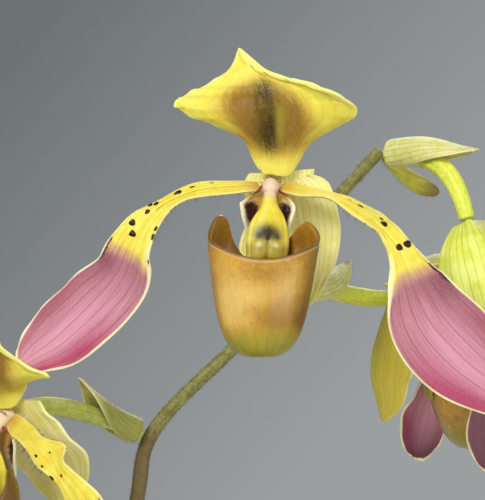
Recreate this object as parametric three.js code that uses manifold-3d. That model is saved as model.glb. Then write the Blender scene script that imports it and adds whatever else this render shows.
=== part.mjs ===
// A potted slipper orchid (Paphiopedilum lowii) in millimetres, +Z up.
// The origin is the middle of the pot's underside, and the open flower looks towards -Y.
import * as THREE from "three";
import { mergeVertices } from "three/addons/utils/BufferGeometryUtils.js";
import Module from "manifold-3d";

const wasm = await Module();
wasm.setup();

// Pot and medium
const POT_HEIGHT = 118;
const POT_FOOT_RADIUS = 47;
const POT_RIM_RADIUS = 68;
const POT_RIM_BAND = 22;
const POT_RIM_STEP = 3.5;
const POT_WALL = 6;
const POT_SIDES = 36;
const DRAIN_RADIUS = 5;
const DRAIN_RING_RADIUS = 28;
const DRAIN_COUNT = 4;
const MEDIUM_TOP = 100;
const BARK_CHUNKS = 26;
const BARK_SIDES = 28;
const GAP = 0.3;

// Growths: a fan of strap leaves on a short crown
const CROWN_TOP = 112;
const CROWN_SIDES = 14;
const LEAF_THICKNESS = 1.1;
const LEAF_HALF_WIDTH = 21;

// Flower stem
const PEDICEL_RADIUS = 2.4;
const STALK_CLEARANCE = 2.5;
const BRACT_THICKNESS = 0.8;
const BRACT_RADIUS = 3.3;
const BRACT_START = 0.03;

// Flowers
const PETAL_THICKNESS = 0.8;
const SEPAL_THICKNESS = 0.9;
const POUCH_HALF_WIDTH = 13.6;
const POUCH_TAPER = 0.3;
const POUCH_LEAN = 0.6;
const POUCH_BOTTOM = -42.2;
const POUCH_WIDEST = -15;
const POUCH_WALL = 0.9;
const POUCH_DEPTH_SHARE = 0.8;
const OVARY_END = 5.8;

const DEGREE = Math.PI / 180;
const UP = new THREE.Vector3(0, 0, 1);

function vector(place) {
  return new THREE.Vector3(place[0], place[1], place[2]);
}

// A repeatable stream of numbers from 0 to 1.
function makeRandom(seed) {
  let state = seed;
  return () => {
    state = (state + 0x6d2b79f5) | 0;
    let mixed = Math.imul(state ^ (state >>> 15), 1 | state);
    mixed = (mixed + Math.imul(mixed ^ (mixed >>> 7), 61 | mixed)) ^ mixed;
    return ((mixed ^ (mixed >>> 14)) >>> 0) / 4294967296;
  };
}

function mix(low, high, share) {
  return low + (high - low) * share;
}

// The value at a place along a list of numbers, on one smooth curve through them all.
function along(values, where) {
  const last = values.length - 1;
  const span = Math.min(Math.floor(where), last - 1);
  const t = where - span;
  const from = values[span];
  const to = values[span + 1];
  const before = span > 0 ? values[span - 1] : 2 * from - to;
  const after = span + 2 <= last ? values[span + 2] : 2 * to - from;
  const bend = 2 * before - 5 * from + 4 * to - after;
  const turn = 3 * (from - to) + after - before;
  return from + 0.5 * t * (to - before + t * (bend + t * turn));
}

// A closed geometry with its faces turned out.
function closedGeometry(points, triangles) {
  let volume = 0;
  for (let i = 0; i < triangles.length; i += 3) {
    const [a, b, c] = triangles.slice(i, i + 3).map((index) => points[index]);
    volume += a.dot(b.clone().cross(c));
  }
  if (volume < 0) triangles.reverse();
  return new THREE.BufferGeometry().setFromPoints(points).setIndex(triangles);
}

function toSolid(geometry) {
  const bare = geometry.clone().deleteAttribute("normal").deleteAttribute("uv");
  const merged = mergeVertices(bare, 1e-4);
  return new wasm.Manifold(
    new wasm.Mesh({
      numProp: 3,
      vertProperties: merged.attributes.position.array,
      triVerts: new Uint32Array(merged.index.array),
    }),
  );
}

function toGeometry(solid) {
  const mesh = solid.getMesh();
  return new THREE.BufferGeometry()
    .setAttribute("position", new THREE.BufferAttribute(mesh.vertProperties, 3))
    .setIndex(new THREE.BufferAttribute(mesh.triVerts, 1));
}

// The frame of a blade at one place along its stations: [place, facing, left, right, curl, lean].
// A lean lowers the right end of the cross line and raises its left end.
function bladeFrame(stations, where) {
  const at = (pick) => along(stations.map(pick), where);
  const point = new THREE.Vector3(...[0, 1, 2].map((axis) => at((s) => s[0][axis])));
  const facing = new THREE.Vector3(...[0, 1, 2].map((axis) => at((s) => s[1][axis])));
  const step = 0.02;
  const last = stations.length - 1;
  const ahead = Math.min(where + step, last);
  const behind = Math.max(where - step, 0);
  const tangent = new THREE.Vector3(
    ...[0, 1, 2].map((axis) => {
      const places = stations.map((s) => s[0][axis]);
      return along(places, ahead) - along(places, behind);
    }),
  ).normalize();
  facing.addScaledVector(tangent, -facing.dot(tangent)).normalize();
  const lean = at((s) => s[5] ?? 0) * DEGREE;
  const across = tangent.clone().cross(facing).multiplyScalar(Math.cos(lean));
  return {
    point,
    facing,
    tangent,
    across: across.addScaledVector(tangent, -Math.sin(lean)),
    left: Math.max(at((s) => s[2]), 0.3),
    right: Math.max(at((s) => s[3]), 0.3),
    curl: at((s) => s[4] ?? 0) * DEGREE,
  };
}

// A point of the blade's middle surface. side runs from -1 at the left edge to 1 at the right edge.
function bladePoint(stations, where, side, shape) {
  const frame = bladeFrame(stations, where);
  const width = side < 0 ? frame.left : frame.right;
  let out = width * side;
  let lift = 0;
  if (Math.abs(frame.curl) > 0.02) {
    const radius = width / frame.curl;
    out = radius * Math.sin(frame.curl * side);
    lift = radius * (1 - Math.cos(frame.curl * side));
  }
  const share = where / (stations.length - 1);
  if (shape.wave) {
    const swell = Math.sin(Math.PI * Math.min(1, share * 1.15)) * side * side;
    const phase = side < 0 ? 0.4 : 2.1;
    lift += shape.wave * swell * Math.sin(2 * Math.PI * shape.waves * share + phase);
  }
  const reach = (shape.lobes ?? 0) * share ** 4 * Math.sin(Math.PI * Math.abs(side) * 0.8);
  return frame.point
    .addScaledVector(frame.across, out)
    .addScaledVector(frame.facing, lift)
    .addScaledVector(frame.tangent, reach);
}

// A thin closed blade through its stations, with the same diagonals on both faces.
function blade(stations, shape) {
  const rows = (stations.length - 1) * (shape.steps ?? 1);
  const columns = shape.columns ?? 4;
  const half = (shape.thickness ?? PETAL_THICKNESS) / 2;
  const last = stations.length - 1;
  const points = [];
  for (const face of [half, -half]) {
    for (let row = 0; row <= rows; row += 1) {
      for (let column = 0; column <= columns; column += 1) {
        const where = (row / rows) * last;
        const side = -1 + (2 * column) / columns;
        const step = 0.05;
        const low = Math.max(where - step, 0);
        const high = Math.min(where + step, last);
        const lengthwise = bladePoint(stations, high, side, shape);
        lengthwise.sub(bladePoint(stations, low, side, shape));
        const crosswise = bladePoint(stations, where, Math.min(side + step, 1), shape);
        crosswise.sub(bladePoint(stations, where, Math.max(side - step, -1), shape));
        const normal = crosswise.cross(lengthwise).normalize();
        points.push(bladePoint(stations, where, side, shape).addScaledVector(normal, face));
      }
    }
  }
  return closedGeometry(points, sheetTriangles(rows, columns));
}

// The triangles of a sheet with two faces of rows by columns and a rim between them.
function sheetTriangles(rows, columns) {
  const line = columns + 1;
  const back = (rows + 1) * line;
  const triangles = [];
  const quad = (a, b, c, d) => triangles.push(a, b, c, a, c, d);
  for (let row = 0; row < rows; row += 1) {
    for (let column = 0; column < columns; column += 1) {
      const a = row * line + column;
      const b = a + line;
      triangles.push(a, b, b + 1, a, b + 1, a + 1);
      triangles.push(back + a, back + b + 1, back + b, back + a, back + a + 1, back + b + 1);
    }
    const left = row * line;
    const right = left + columns;
    quad(left, left + back, left + line + back, left + line);
    quad(right + line, right + line + back, right + back, right);
  }
  for (let column = 0; column < columns; column += 1) {
    const top = rows * line + column;
    quad(column + 1, column + 1 + back, column + back, column);
    quad(top, top + back, top + 1 + back, top + 1);
  }
  return triangles;
}

// A closed skin over rings of points that all have the same number of points.
function ringSkin(rings) {
  const sides = rings[0].length;
  const points = rings.flat();
  const triangles = [];
  for (let ring = 0; ring < rings.length - 1; ring += 1) {
    for (let side = 0; side < sides; side += 1) {
      const a = ring * sides + side;
      const b = ring * sides + ((side + 1) % sides);
      triangles.push(a, b, b + sides, a, b + sides, a + sides);
    }
  }
  const end = (rings.length - 1) * sides;
  for (let side = 1; side < sides - 1; side += 1) {
    triangles.push(0, side + 1, side, end, end + side, end + side + 1);
  }
  return closedGeometry(points, triangles);
}

// A round limb through places, with a radius at each.
function limb(places, radii, sides = 8, steps = 3) {
  const curve = new THREE.CatmullRomCurve3(places.map(vector));
  const last = places.length - 1;
  const rings = [];
  let normal = null;
  for (let step = 0; step <= last * steps; step += 1) {
    const share = step / (last * steps);
    const tangent = curve.getTangent(share);
    const start = Math.abs(tangent.z) > 0.9 ? new THREE.Vector3(1, 0, 0) : UP.clone();
    normal = (normal ?? start).clone().addScaledVector(tangent, -(normal ?? start).dot(tangent));
    normal.normalize();
    const other = tangent.clone().cross(normal);
    const radius = along(radii, share * last);
    const centre = curve.getPoint(share);
    const ring = [];
    for (let side = 0; side < sides; side += 1) {
      const angle = (2 * Math.PI * side) / sides;
      const point = centre.clone().addScaledVector(normal, radius * Math.cos(angle));
      ring.push(point.addScaledVector(other, radius * Math.sin(angle)));
    }
    rings.push(ring);
  }
  return ringSkin(rings);
}

const SKIN = {
  clay: { color: 0xa8603f, roughness: 0.85 },
  bark: { color: 0x5b3d29, roughness: 0.95 },
  leaf: { color: 0x3f6b2c, roughness: 0.45 },
  crown: { color: 0x6c8a45, roughness: 0.6 },
  stem: { color: 0x7d6a45, roughness: 0.7 },
  bract: { color: 0xb9bf74, roughness: 0.6 },
  ovary: { color: 0x8fa640, roughness: 0.6 },
  sepal: { color: 0xc3b748, roughness: 0.5 },
  petal: { color: 0xb77f93, roughness: 0.5 },
  lip: { color: 0xb88a3a, roughness: 0.3 },
  column: { color: 0xb5a23e, roughness: 0.4 },
};

const plant = new THREE.Group();

function addPiece(parent, name, skin, geometry) {
  const material = new THREE.MeshStandardMaterial({ metalness: 0, ...SKIN[skin] });
  const mesh = new THREE.Mesh(geometry, material);
  mesh.name = name;
  parent.add(mesh);
}

// A plain thrown pot with a rim band, a flat foot and drain holes round its middle.
function makePot() {
  const bandBottom = POT_HEIGHT - POT_RIM_BAND;
  const bodyTop = POT_RIM_RADIUS - POT_RIM_STEP;
  const inside = innerRadius;
  const profile = [
    [0, 0],
    [POT_FOOT_RADIUS - 1.5, 0],
    [POT_FOOT_RADIUS, 1.5],
    [bodyTop - 0.5, bandBottom - 1.5],
    [bodyTop + 1.2, bandBottom],
    [POT_RIM_RADIUS - 0.8, bandBottom + 1],
    [POT_RIM_RADIUS, POT_HEIGHT - 3],
    [POT_RIM_RADIUS - 1.5, POT_HEIGHT],
    [inside(POT_HEIGHT) + 2, POT_HEIGHT],
    [inside(POT_HEIGHT) + 0.3, POT_HEIGHT - 2],
    [inside(bandBottom), bandBottom],
    [inside(POT_WALL + 4), POT_WALL + 4],
    [inside(POT_WALL) - 4, POT_WALL],
    [0, POT_WALL],
  ];
  const turned = new THREE.LatheGeometry(
    profile.map(([radius, height]) => new THREE.Vector2(radius, height)),
    POT_SIDES,
  ).rotateX(90 * DEGREE);
  let pot = outward(turned);
  for (let hole = 0; hole < DRAIN_COUNT; hole += 1) {
    const angle = ((hole + 0.5) * 2 * Math.PI) / DRAIN_COUNT;
    const drain = new THREE.CylinderGeometry(DRAIN_RADIUS, DRAIN_RADIUS, 4 * POT_WALL, 14);
    drain.rotateX(90 * DEGREE);
    drain.translate(DRAIN_RING_RADIUS * Math.cos(angle), DRAIN_RING_RADIUS * Math.sin(angle), 0);
    pot = pot.subtract(toSolid(drain));
  }
  return toGeometry(pot);
}

// The pot's inner radius at a height: the wall leans as the outside does.
function innerRadius(height) {
  const bodyTop = POT_RIM_RADIUS - POT_RIM_STEP;
  const share = height / (POT_HEIGHT - POT_RIM_BAND);
  return Math.min(mix(POT_FOOT_RADIUS, bodyTop, share), bodyTop + 2) - POT_WALL;
}

// A turned geometry as a solid, whichever way its faces were wound.
function outward(geometry) {
  const bare = geometry.clone().deleteAttribute("normal").deleteAttribute("uv");
  const merged = mergeVertices(bare, 1e-4);
  const position = merged.attributes.position;
  const points = Array.from({ length: position.count }, (_, i) =>
    new THREE.Vector3().fromBufferAttribute(position, i),
  );
  const triangles = [];
  const index = merged.index.array;
  for (let i = 0; i < index.length; i += 3) {
    const [a, b, c] = index.slice(i, i + 3);
    if (a !== b && b !== c && a !== c) triangles.push(a, b, c);
  }
  return toSolid(closedGeometry(points, triangles));
}

// The medium: bark chunks fused to the plug of bark below them, with holes for what stands in it.
function makeMedium(standing) {
  const random = makeRandom(41);
  const wall = [];
  for (const height of [POT_WALL + 0.5, POT_WALL + 5, MEDIUM_TOP - 4, MEDIUM_TOP + 14]) {
    const foot = height === POT_WALL + 0.5 ? 5 : 0;
    wall.push([innerRadius(height) - 0.5 - foot, height]);
  }
  const turn = (outline) =>
    outward(
      new THREE.LatheGeometry(
        outline.map(([radius, height]) => new THREE.Vector2(radius, height)),
        BARK_SIDES,
      ).rotateX(90 * DEGREE),
    );
  const bottom = wall[0][1];
  const space = turn([[0, bottom], ...wall, [0, MEDIUM_TOP + 14]]);
  const plugTop = [innerRadius(MEDIUM_TOP) - 0.8, MEDIUM_TOP - 3];
  let medium = turn([[0, bottom], wall[0], wall[1], plugTop, [0, MEDIUM_TOP - 3]]);
  const golden = Math.PI * (3 - Math.sqrt(5));
  for (let chunk = 0; chunk < BARK_CHUNKS; chunk += 1) {
    const radius = 54 * Math.sqrt((chunk + 0.5) / BARK_CHUNKS);
    const size = [mix(17, 27, random()), mix(11, 18, random()), mix(8, 12, random())];
    const box = new THREE.BoxGeometry(...size);
    const position = box.attributes.position;
    for (let i = 0; i < position.count; i += 1) {
      const corner = new THREE.Vector3().fromBufferAttribute(position, i);
      const skew = Math.sin(corner.x * 1.7 + corner.y * 2.3 + corner.z * 3.1 + chunk);
      position.setXYZ(i, corner.x * (1 + 0.14 * skew), corner.y * (1 - 0.16 * skew), corner.z);
    }
    box.rotateX((random() - 0.5) * 0.7);
    box.rotateY((random() - 0.5) * 0.7);
    box.rotateZ(random() * Math.PI);
    const angle = chunk * golden;
    const height = MEDIUM_TOP - 2 + 3 * (random() - 0.5);
    box.translate(radius * Math.cos(angle), radius * Math.sin(angle), height);
    medium = medium.add(toSolid(box));
  }
  medium = medium.intersect(space);
  for (const hole of standing) medium = medium.subtract(hole);
  // Pockets that the chunks close off are filled, and loose scraps are dropped.
  const [largest] = medium.decompose().sort((one, other) => other.volume() - one.volume());
  return toGeometry(largest);
}

// A crown: the short stem of a growth with its thick roots arching into the bark.
function makeCrown(growth, swell) {
  const [x, y] = growth.at;
  const body = new THREE.Matrix4().makeRotationZ(growth.turn * DEGREE);
  body.setPosition(x, y, 0);
  const long = growth.length / 2 + swell;
  const wide = growth.width / 2 + swell;
  const rings = [];
  for (const [height, share] of [[86 - swell, 0.7], [94, 0.95], [106, 1], [CROWN_TOP, 0.96]]) {
    const ring = [];
    for (let side = 0; side < CROWN_SIDES; side += 1) {
      const angle = (side * 2 * Math.PI) / CROWN_SIDES;
      const place = new THREE.Vector3(share * long * Math.cos(angle), share * wide * Math.sin(angle), height);
      ring.push(place.applyMatrix4(body));
    }
    rings.push(ring);
  }
  let crown = toSolid(ringSkin(rings));
  for (const turn of growth.roots) {
    const out = new THREE.Vector3(Math.cos(turn * DEGREE), Math.sin(turn * DEGREE), 0);
    const start = growth.width / 2 - 3;
    const stretch = growth.rootReach ?? 1;
    const place = (reach, height) => {
      const far = start + reach * stretch;
      return [x + out.x * far, y + out.y * far, height];
    };
    const path = [place(0, 102), place(6, 105), place(13, 103.5), place(17, 96), place(18, 88 - swell)];
    const radius = 2.1 + swell;
    crown = crown.add(toSolid(limb(path, [radius, radius, radius, radius, radius * 0.8], 6, 1)));
  }
  return crown;
}

// A strap leaf that leaves its fan upright, then arches out and down.
function leafStations(growth, leaf) {
  const turn = growth.turn + (leaf.side < 0 ? 180 : 0);
  const fan = new THREE.Vector3(Math.cos(turn * DEGREE), Math.sin(turn * DEGREE), 0);
  const place = new THREE.Vector3(growth.at[0], growth.at[1], CROWN_TOP + GAP);
  place.addScaledVector(fan, leaf.offset);
  const profile = [0.62, 0.66, 0.78, 0.92, 1, 1, 0.96, 0.86, 0.66, 0.36, 0.04];
  const curls = [24, 32, 36, 34, 30, 26, 24, 22, 20, 14, 6];
  const stations = [];
  const pieces = profile.length - 1;
  for (let step = 0; step <= pieces; step += 1) {
    const share = step / pieces;
    const swing = (turn + leaf.swing * share) * DEGREE;
    const rise = mix(leaf.rise, leaf.droop, share ** 1.25) * DEGREE;
    const out = new THREE.Vector3(Math.cos(swing), Math.sin(swing), 0);
    const facing = out.clone().multiplyScalar(-Math.sin(rise)).addScaledVector(UP, Math.cos(rise));
    const half = LEAF_HALF_WIDTH * leaf.width * profile[step];
    stations.push([place.toArray(), facing.toArray(), half, half, curls[step]]);
    const reach = (leaf.length / pieces) * (step > pieces - 3 ? 0.8 : 1);
    place.addScaledVector(out, reach * Math.cos(rise));
    place.addScaledVector(UP, reach * Math.sin(rise));
  }
  return stations;
}

const GROWTHS = [
  {
    at: [0, -10],
    turn: 12,
    length: 38,
    width: 17,
    roots: [-125, -60, 40, 150],
    leaves: [
      { side: 1, offset: 7, length: 300, width: 0.98, rise: 84, droop: -18, swing: 6 },
      { side: -1, offset: 7, length: 285, width: 0.95, rise: 82, droop: -26, swing: -7 },
      { side: 1, offset: 11.5, length: 310, width: 1.05, rise: 70, droop: -48, swing: -8 },
      { side: -1, offset: 11.5, length: 320, width: 1.04, rise: 68, droop: -46, swing: 8 },
      { side: 1, offset: 16, length: 265, width: 1, rise: 50, droop: -58, swing: 9 },
      { side: -1, offset: 16, length: 255, width: 0.98, rise: 48, droop: -60, swing: -10 },
    ],
  },
  {
    at: [-5, 35],
    turn: 20,
    length: 28,
    width: 14,
    roots: [75, 200],
    rootReach: 0.35,
    leaves: [
      { side: 1, offset: 2, length: 150, width: 0.62, rise: 88, droop: 50, swing: 10 },
      { side: 1, offset: 7, length: 215, width: 0.78, rise: 76, droop: -20, swing: 12 },
      { side: -1, offset: 6.5, length: 225, width: 0.8, rise: 78, droop: -14, swing: -16 },
      { side: 1, offset: 11.5, length: 180, width: 0.76, rise: 54, droop: -48, swing: 16 },
      { side: -1, offset: 11, length: 190, width: 0.78, rise: 56, droop: -46, swing: -18 },
    ],
  },
];

// The flower stem, from the crown to its last joint. Each flower leaves from one of its joints.
const JOINT = {
  first: [48.2, 10, 494.1],
  second: [85.2, 10, 532.7],
  third: [86, 10, 544.25],
  last: [109.9, 8, 570.8],
};
const SCAPE_PATH = [
  [0, -10, CROWN_TOP + GAP],
  [4, -6, 200],
  [14, 0, 300],
  [30, 6, 400],
  [44.7, 10, 477.3],
  JOINT.first,
  [70.7, 10, 518],
  JOINT.second,
  JOINT.third,
  [96.2, 10, 556],
  JOINT.last,
];
const SCAPE_RADII = [2.3, 2.3, 2.2, 2.1, 2, 1.9, 1.7, 1.8, 1.8, 1.6, 1.6];

// The open flower's parts, as stations about its own middle. Each station is a place of the
// middle line, the way the face looks, the widths to the left and right, the curl and the lean.
const LEFT_PETAL = [
  [[-2.9, 0.3, -0.1], [0, -0.6, 0.8], 2.1, 2.1, 10],
  [[-8, -1.5, 0], [0, -0.6, 0.8], 2.8, 2.6, 8],
  [[-17.5, -3.5, -0.9], [0.05, -0.62, 0.78], 2.7, 2.7, 6],
  [[-25.5, -5, -4], [-0.2, -0.7, 0.68], 2.8, 2.8, 4],
  [[-31, -5.5, -8.7], [-0.3, -0.85, 0.45], 4, 4, 0],
  [[-34.8, -5, -15], [-0.25, -0.93, 0.25], 6.1, 6.3, -4],
  [[-38.3, -3.5, -22.5], [-0.2, -0.95, 0.2], 8.7, 7.3, -8],
  [[-45.3, -1, -30.5], [-0.3, -0.91, 0.27], 9.6, 10.2, -12],
  [[-53, 1.5, -37.5], [-0.3, -0.91, 0.27], 8.4, 9.8, -10],
  [[-59, 3, -42], [-0.3, -0.91, 0.27], 5.4, 7, -6],
  [[-62.4, 3.5, -44.2], [-0.3, -0.91, 0.27], 3, 3.8, -3],
  [[-64.4, 3.8, -45], [-0.3, -0.91, 0.27], 0.4, 0.4, 0],
];
const RIGHT_PETAL = [
  [[2.9, 0.3, -0.1], [0, -0.6, 0.8], 2.1, 2.1, 10],
  [[7.5, -2, -0.9], [0, -0.5, 0.86], 2.5, 2.9, 8],
  [[13.7, -5, -2.1], [0.1, -0.42, 0.9], 2.6, 2.8, 6],
  [[18.9, -8, -4.3], [0.25, -0.45, 0.85], 2.8, 2.5, 4],
  [[24, -10.5, -7.8], [0.45, -0.6, 0.66], 5.8, 2.9, 0],
  [[28.3, -12.5, -12], [0.4, -0.85, 0.35], 3.8, 2, 0],
  [[32, -14, -17.2], [0.25, -0.95, 0.15], 4.6, 3.3, -4],
  [[35, -15, -24.5], [0.05, -0.99, 0.1], 8.1, 7.1, -6],
  [[39.2, -16, -33], [0, -1, 0.05], 11, 10.9, -10],
  [[46.5, -16, -41.5], [0, -1, 0.05], 11.8, 11.4, -10],
  [[55.5, -15, -49], [0, -1, 0.05], 9.8, 8.2, -6],
  [[61, -14.2, -53.2], [0, -1, 0.05], 5.2, 4.6, -3],
  [[64, -14, -55.3], [0, -1, 0.05], 0.4, 0.4, 0],
];
const DROOPING_PETAL = [
  [[2.9, 0.3, -0.1], [0, -0.6, 0.8], 2.1, 2.1, 10],
  [[7.5, -2, -0.8], [-0.1, -0.5, 0.86], 2.5, 2.5, 8],
  [[13, -6.5, -3], [-0.3, -0.5, 0.8], 2.6, 2.6, 6],
  [[17, -10.5, -7.4], [-0.6, -0.5, 0.5], 2.8, 2.8, 4],
  [[19.6, -13.6, -13], [-0.8, -0.5, 0.3], 3.2, 3.2, 0],
  [[21.8, -15.4, -20], [-0.85, -0.5, 0.2], 4.4, 4.4, -4],
  [[24, -15.4, -28], [-0.9, -0.4, 0.2], 7, 7, -8],
  [[26.2, -14.6, -36], [-0.9, -0.4, 0.2], 8.8, 8.8, -10],
  [[28.2, -14, -42.5], [-0.9, -0.4, 0.2], 7, 7, -8],
  [[29, -13.9, -46], [-0.9, -0.4, 0.2], 3.6, 3.6, -4],
  [[29.3, -13.8, -47.4], [-0.9, -0.4, 0.2], 0.5, 0.5, 0],
];
const DORSAL_SEPAL = [
  [[1, 0.9, 2.9], [0, -1, 0], 2.9, 2.6, -20, 0],
  [[1.2, 0.9, 4.6], [0, -1, 0], 4.7, 5.2, -36, 0],
  [[1.2, 0.4, 8.5], [0, -1, 0], 7.7, 9.2, -60, 0],
  [[1.1, -0.4, 11.8], [0, -1, 0], 9.5, 12.4, -45, 3],
  [[0.9, -1, 15], [0, -1, 0], 15.4, 17.4, -25, 4],
  [[0.7, -1.4, 17.2], [0, -1, 0], 21.2, 20, -14, 8],
  [[0.3, -1.6, 19.6], [0, -1, 0], 24.4, 21.4, -4, 14],
  [[-0.5, -1.3, 22.2], [0, -1, 0], 22.6, 19, 2, 21],
  [[-1.6, -0.4, 24.4], [0, -1, 0], 18.4, 14.8, 8, 31],
  [[-2.9, 0.8, 26.4], [0, -1, 0], 11.8, 9.6, 12, 36],
  [[-4.3, 2.2, 28.6], [0, -1, 0], 7.6, 4.4, 12, 33],
  [[-6.3, 4, 31.7], [0, -1, 0], 2.9, 2.4, 10, 30],
  [[-7.8, 5.6, 34.6], [0, -1, 0], 0.4, 0.4, 0, 27],
];
const SYNSEPAL = [
  [[2.3, 4.2, 4], [0, -1, 0], 9, 7.5, -14],
  [[2.5, 4.2, 1.5], [0, -1, 0], 8.6, 9.4, -14],
  [[3.5, 4.3, -2], [0, -1, 0], 11.5, 10, -12],
  [[5.2, 4.7, -7], [0, -1, 0], 11.8, 12, -6],
  [[6.5, 5.4, -13.3], [0, -1, 0], 11.5, 14.5, 4],
  [[7.5, 5.6, -19.5], [0, -1, 0], 9.5, 12, 12],
  [[8.2, 5, -24.5], [0, -1, 0], 6.3, 8, 15],
  [[8.5, 4.2, -28.3], [0, -1, 0], 3, 4, 12],
  [[8.5, 3.6, -30.3], [0, -1, 0], 0.4, 0.4, 0],
];
const EVEN_SYNSEPAL = evened(SYNSEPAL);
const EVEN_DORSAL = evened(DORSAL_SEPAL);
const SHIELD = [
  [[-0.2, -4.6, -1.6], [0, -0.95, -0.3], 1.4, 1.4, -10],
  [[-0.2, -5.8, -4.4], [0, -0.97, -0.2], 1.9, 1.9, -26],
  [[-0.3, -7.1, -7.6], [0, -0.98, -0.15], 3.8, 3.8, -32],
  [[-0.6, -8.1, -10.8], [0, -0.98, -0.2], 5, 5, -30],
  [[-0.8, -8.8, -14.2], [0, -0.97, -0.25], 5.3, 5.3, -26],
  [[-1, -9.4, -17.6], [0, -0.96, -0.3], 4.8, 4.8, -22],
];

// The half-open flower's parts: everything still points forward, along -Y.
const SHUT_DORSAL = [
  [[0, 1, 3], [0, -0.2, -1], 5, 5, 30],
  [[0, -4, 9], [0, 0, -1], 10.4, 10.4, 46],
  [[0, -13, 13], [0, 0.1, -1], 12.8, 12.8, 48],
  [[0, -24, 12], [0, 0.2, -1], 11.4, 11.4, 44],
  [[0, -34, 8], [0, 0.3, -1], 6.5, 6.5, 36],
  [[0, -41, 4], [0, 0.3, -1], 0.4, 0.4, 0],
];
const SHUT_SYNSEPAL = [
  [[0, 1, -3], [0, -0.2, 1], 3, 3, 30],
  [[0, -4, -8.5], [0, 0, 1], 7.5, 7.5, 46],
  [[0, -14, -11.5], [0, 0.1, 1], 9.5, 9.5, 46],
  [[0, -26, -9.5], [0, 0.3, 1], 8, 8, 40],
  [[0, -36, -5.5], [0, 0.3, 1], 0.4, 0.4, 0],
];
const SHUT_PETAL = [
  [[3.2, -0.2, 0], [-1, -0.1, 0], 1.9, 1.9, 10],
  [[7.6, -7, 0.4], [-1, 0.1, 0], 2.5, 2.5, 12],
  [[10.6, -16, 0], [-1, 0.05, 0], 3.2, 3.2, 14],
  [[11.4, -26, -1.5], [-1, 0, 0], 5.2, 5.2, 16],
  [[10.6, -35, -3], [-1, -0.1, 0], 5.8, 5.8, 12],
  [[9.4, -42, -4.6], [-1, -0.2, 0], 3.2, 3.2, 6],
  [[8.8, -45, -5.2], [-1, -0.2, 0], 0.4, 0.4, 0],
];

// The same part with both halves alike.
function evened(stations) {
  return stations.map(([place, facing, left, right, curl]) => {
    const half = (left + right) / 2;
    return [[0, place[1], place[2]], facing, half, half, curl];
  });
}

// The same part drawn forward, more so towards its tip.
function swept(stations, reach) {
  const last = stations.length - 1;
  return stations.map(([place, ...rest], index) => {
    const forward = (reach * index) / last;
    return [[place[0], place[1] - forward, place[2]], ...rest];
  });
}

// The same part bowed backward in its middle.
function bowed(stations, reach) {
  const last = stations.length - 1;
  return stations.map(([place, ...rest], index) => {
    const backward = reach * Math.sin((Math.PI * index) / last) ** 4;
    return [[place[0], place[1] + backward, place[2]], ...rest];
  });
}

function mirrored(stations) {
  return stations.map(([place, facing, left, right, curl]) => [
    [-place[0], place[1], place[2]],
    [-facing[0], facing[1], facing[2]],
    right,
    left,
    curl,
  ]);
}

// The same part hanging lower or higher: turned about its foot in the flower's own plane.
function swung(stations, degrees) {
  const foot = vector(stations[0][0]);
  const axis = new THREE.Vector3(0, 1, 0);
  const reach = stations.length - 1;
  return stations.map(([place, facing, left, right, curl], index) => {
    const turn = degrees * DEGREE * Math.min(1, (2 * index) / reach);
    const moved = vector(place).sub(foot).applyAxisAngle(axis, turn).add(foot);
    const turned = vector(facing).applyAxisAngle(axis, turn);
    return [moved.toArray(), turned.toArray(), left, right, curl];
  });
}

// The same part leaning forward over the flower, more so towards its tip, and shorter by a share.
function hooded(stations, degrees, growth = 1) {
  const foot = vector(stations[0][0]);
  const axis = new THREE.Vector3(1, 0, 0);
  const last = stations.length - 1;
  return stations.map(([place, facing, left, right, curl], index) => {
    const turn = degrees * DEGREE * Math.min(1, (1.6 * index) / last);
    const moved = vector(place).sub(foot);
    moved.z *= growth;
    moved.applyAxisAngle(axis, turn).add(foot);
    const turned = vector(facing).applyAxisAngle(axis, turn);
    return [moved.toArray(), turned.toArray(), left, right, curl];
  });
}

// The same part made wider by a share, blunter at its tip and rolled lengthwise to a given curl.
function rolled(stations, growth, curl, blunt = 0) {
  const last = stations.length - 1;
  return stations.map(([place, facing, left, right], index) => {
    const share = growth * (1 + blunt * (index / last) ** 3);
    const roll = index === last ? 0 : curl * Math.min(1, index / 4);
    return [place, facing, left * share, right * share, roll];
  });
}

// The pouch's half-width at a height: a deep round-bottomed bucket that narrows downward.
function pouchHalfWidth(height) {
  const down = (POUCH_WIDEST - height) / (POUCH_WIDEST - POUCH_BOTTOM);
  if (down <= 0) return POUCH_HALF_WIDTH * (1 - 1.7 * down * down);
  return POUCH_HALF_WIDTH * (1 - POUCH_TAPER * down) * Math.max(0, 1 - down ** 6) ** 0.4;
}

// The rim's height at every 15 degrees from the front to the back. It stands up in an ear on
// each side of the back: the left ear is the higher one, the right ear the broader one.
const RIM_STEP = 15;
const LEFT_RIM = [-18, -17.7, -16.9, -15.7, -14.5, -13.5, -11.2, -8, -7.5, -9.3, -15.2, -19, -20.5];
const RIGHT_RIM = [-18, -17.8, -17.1, -16, -14.9, -14, -12.4, -10.2, -9.1, -10, -12.8, -17, -20.5];

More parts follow.
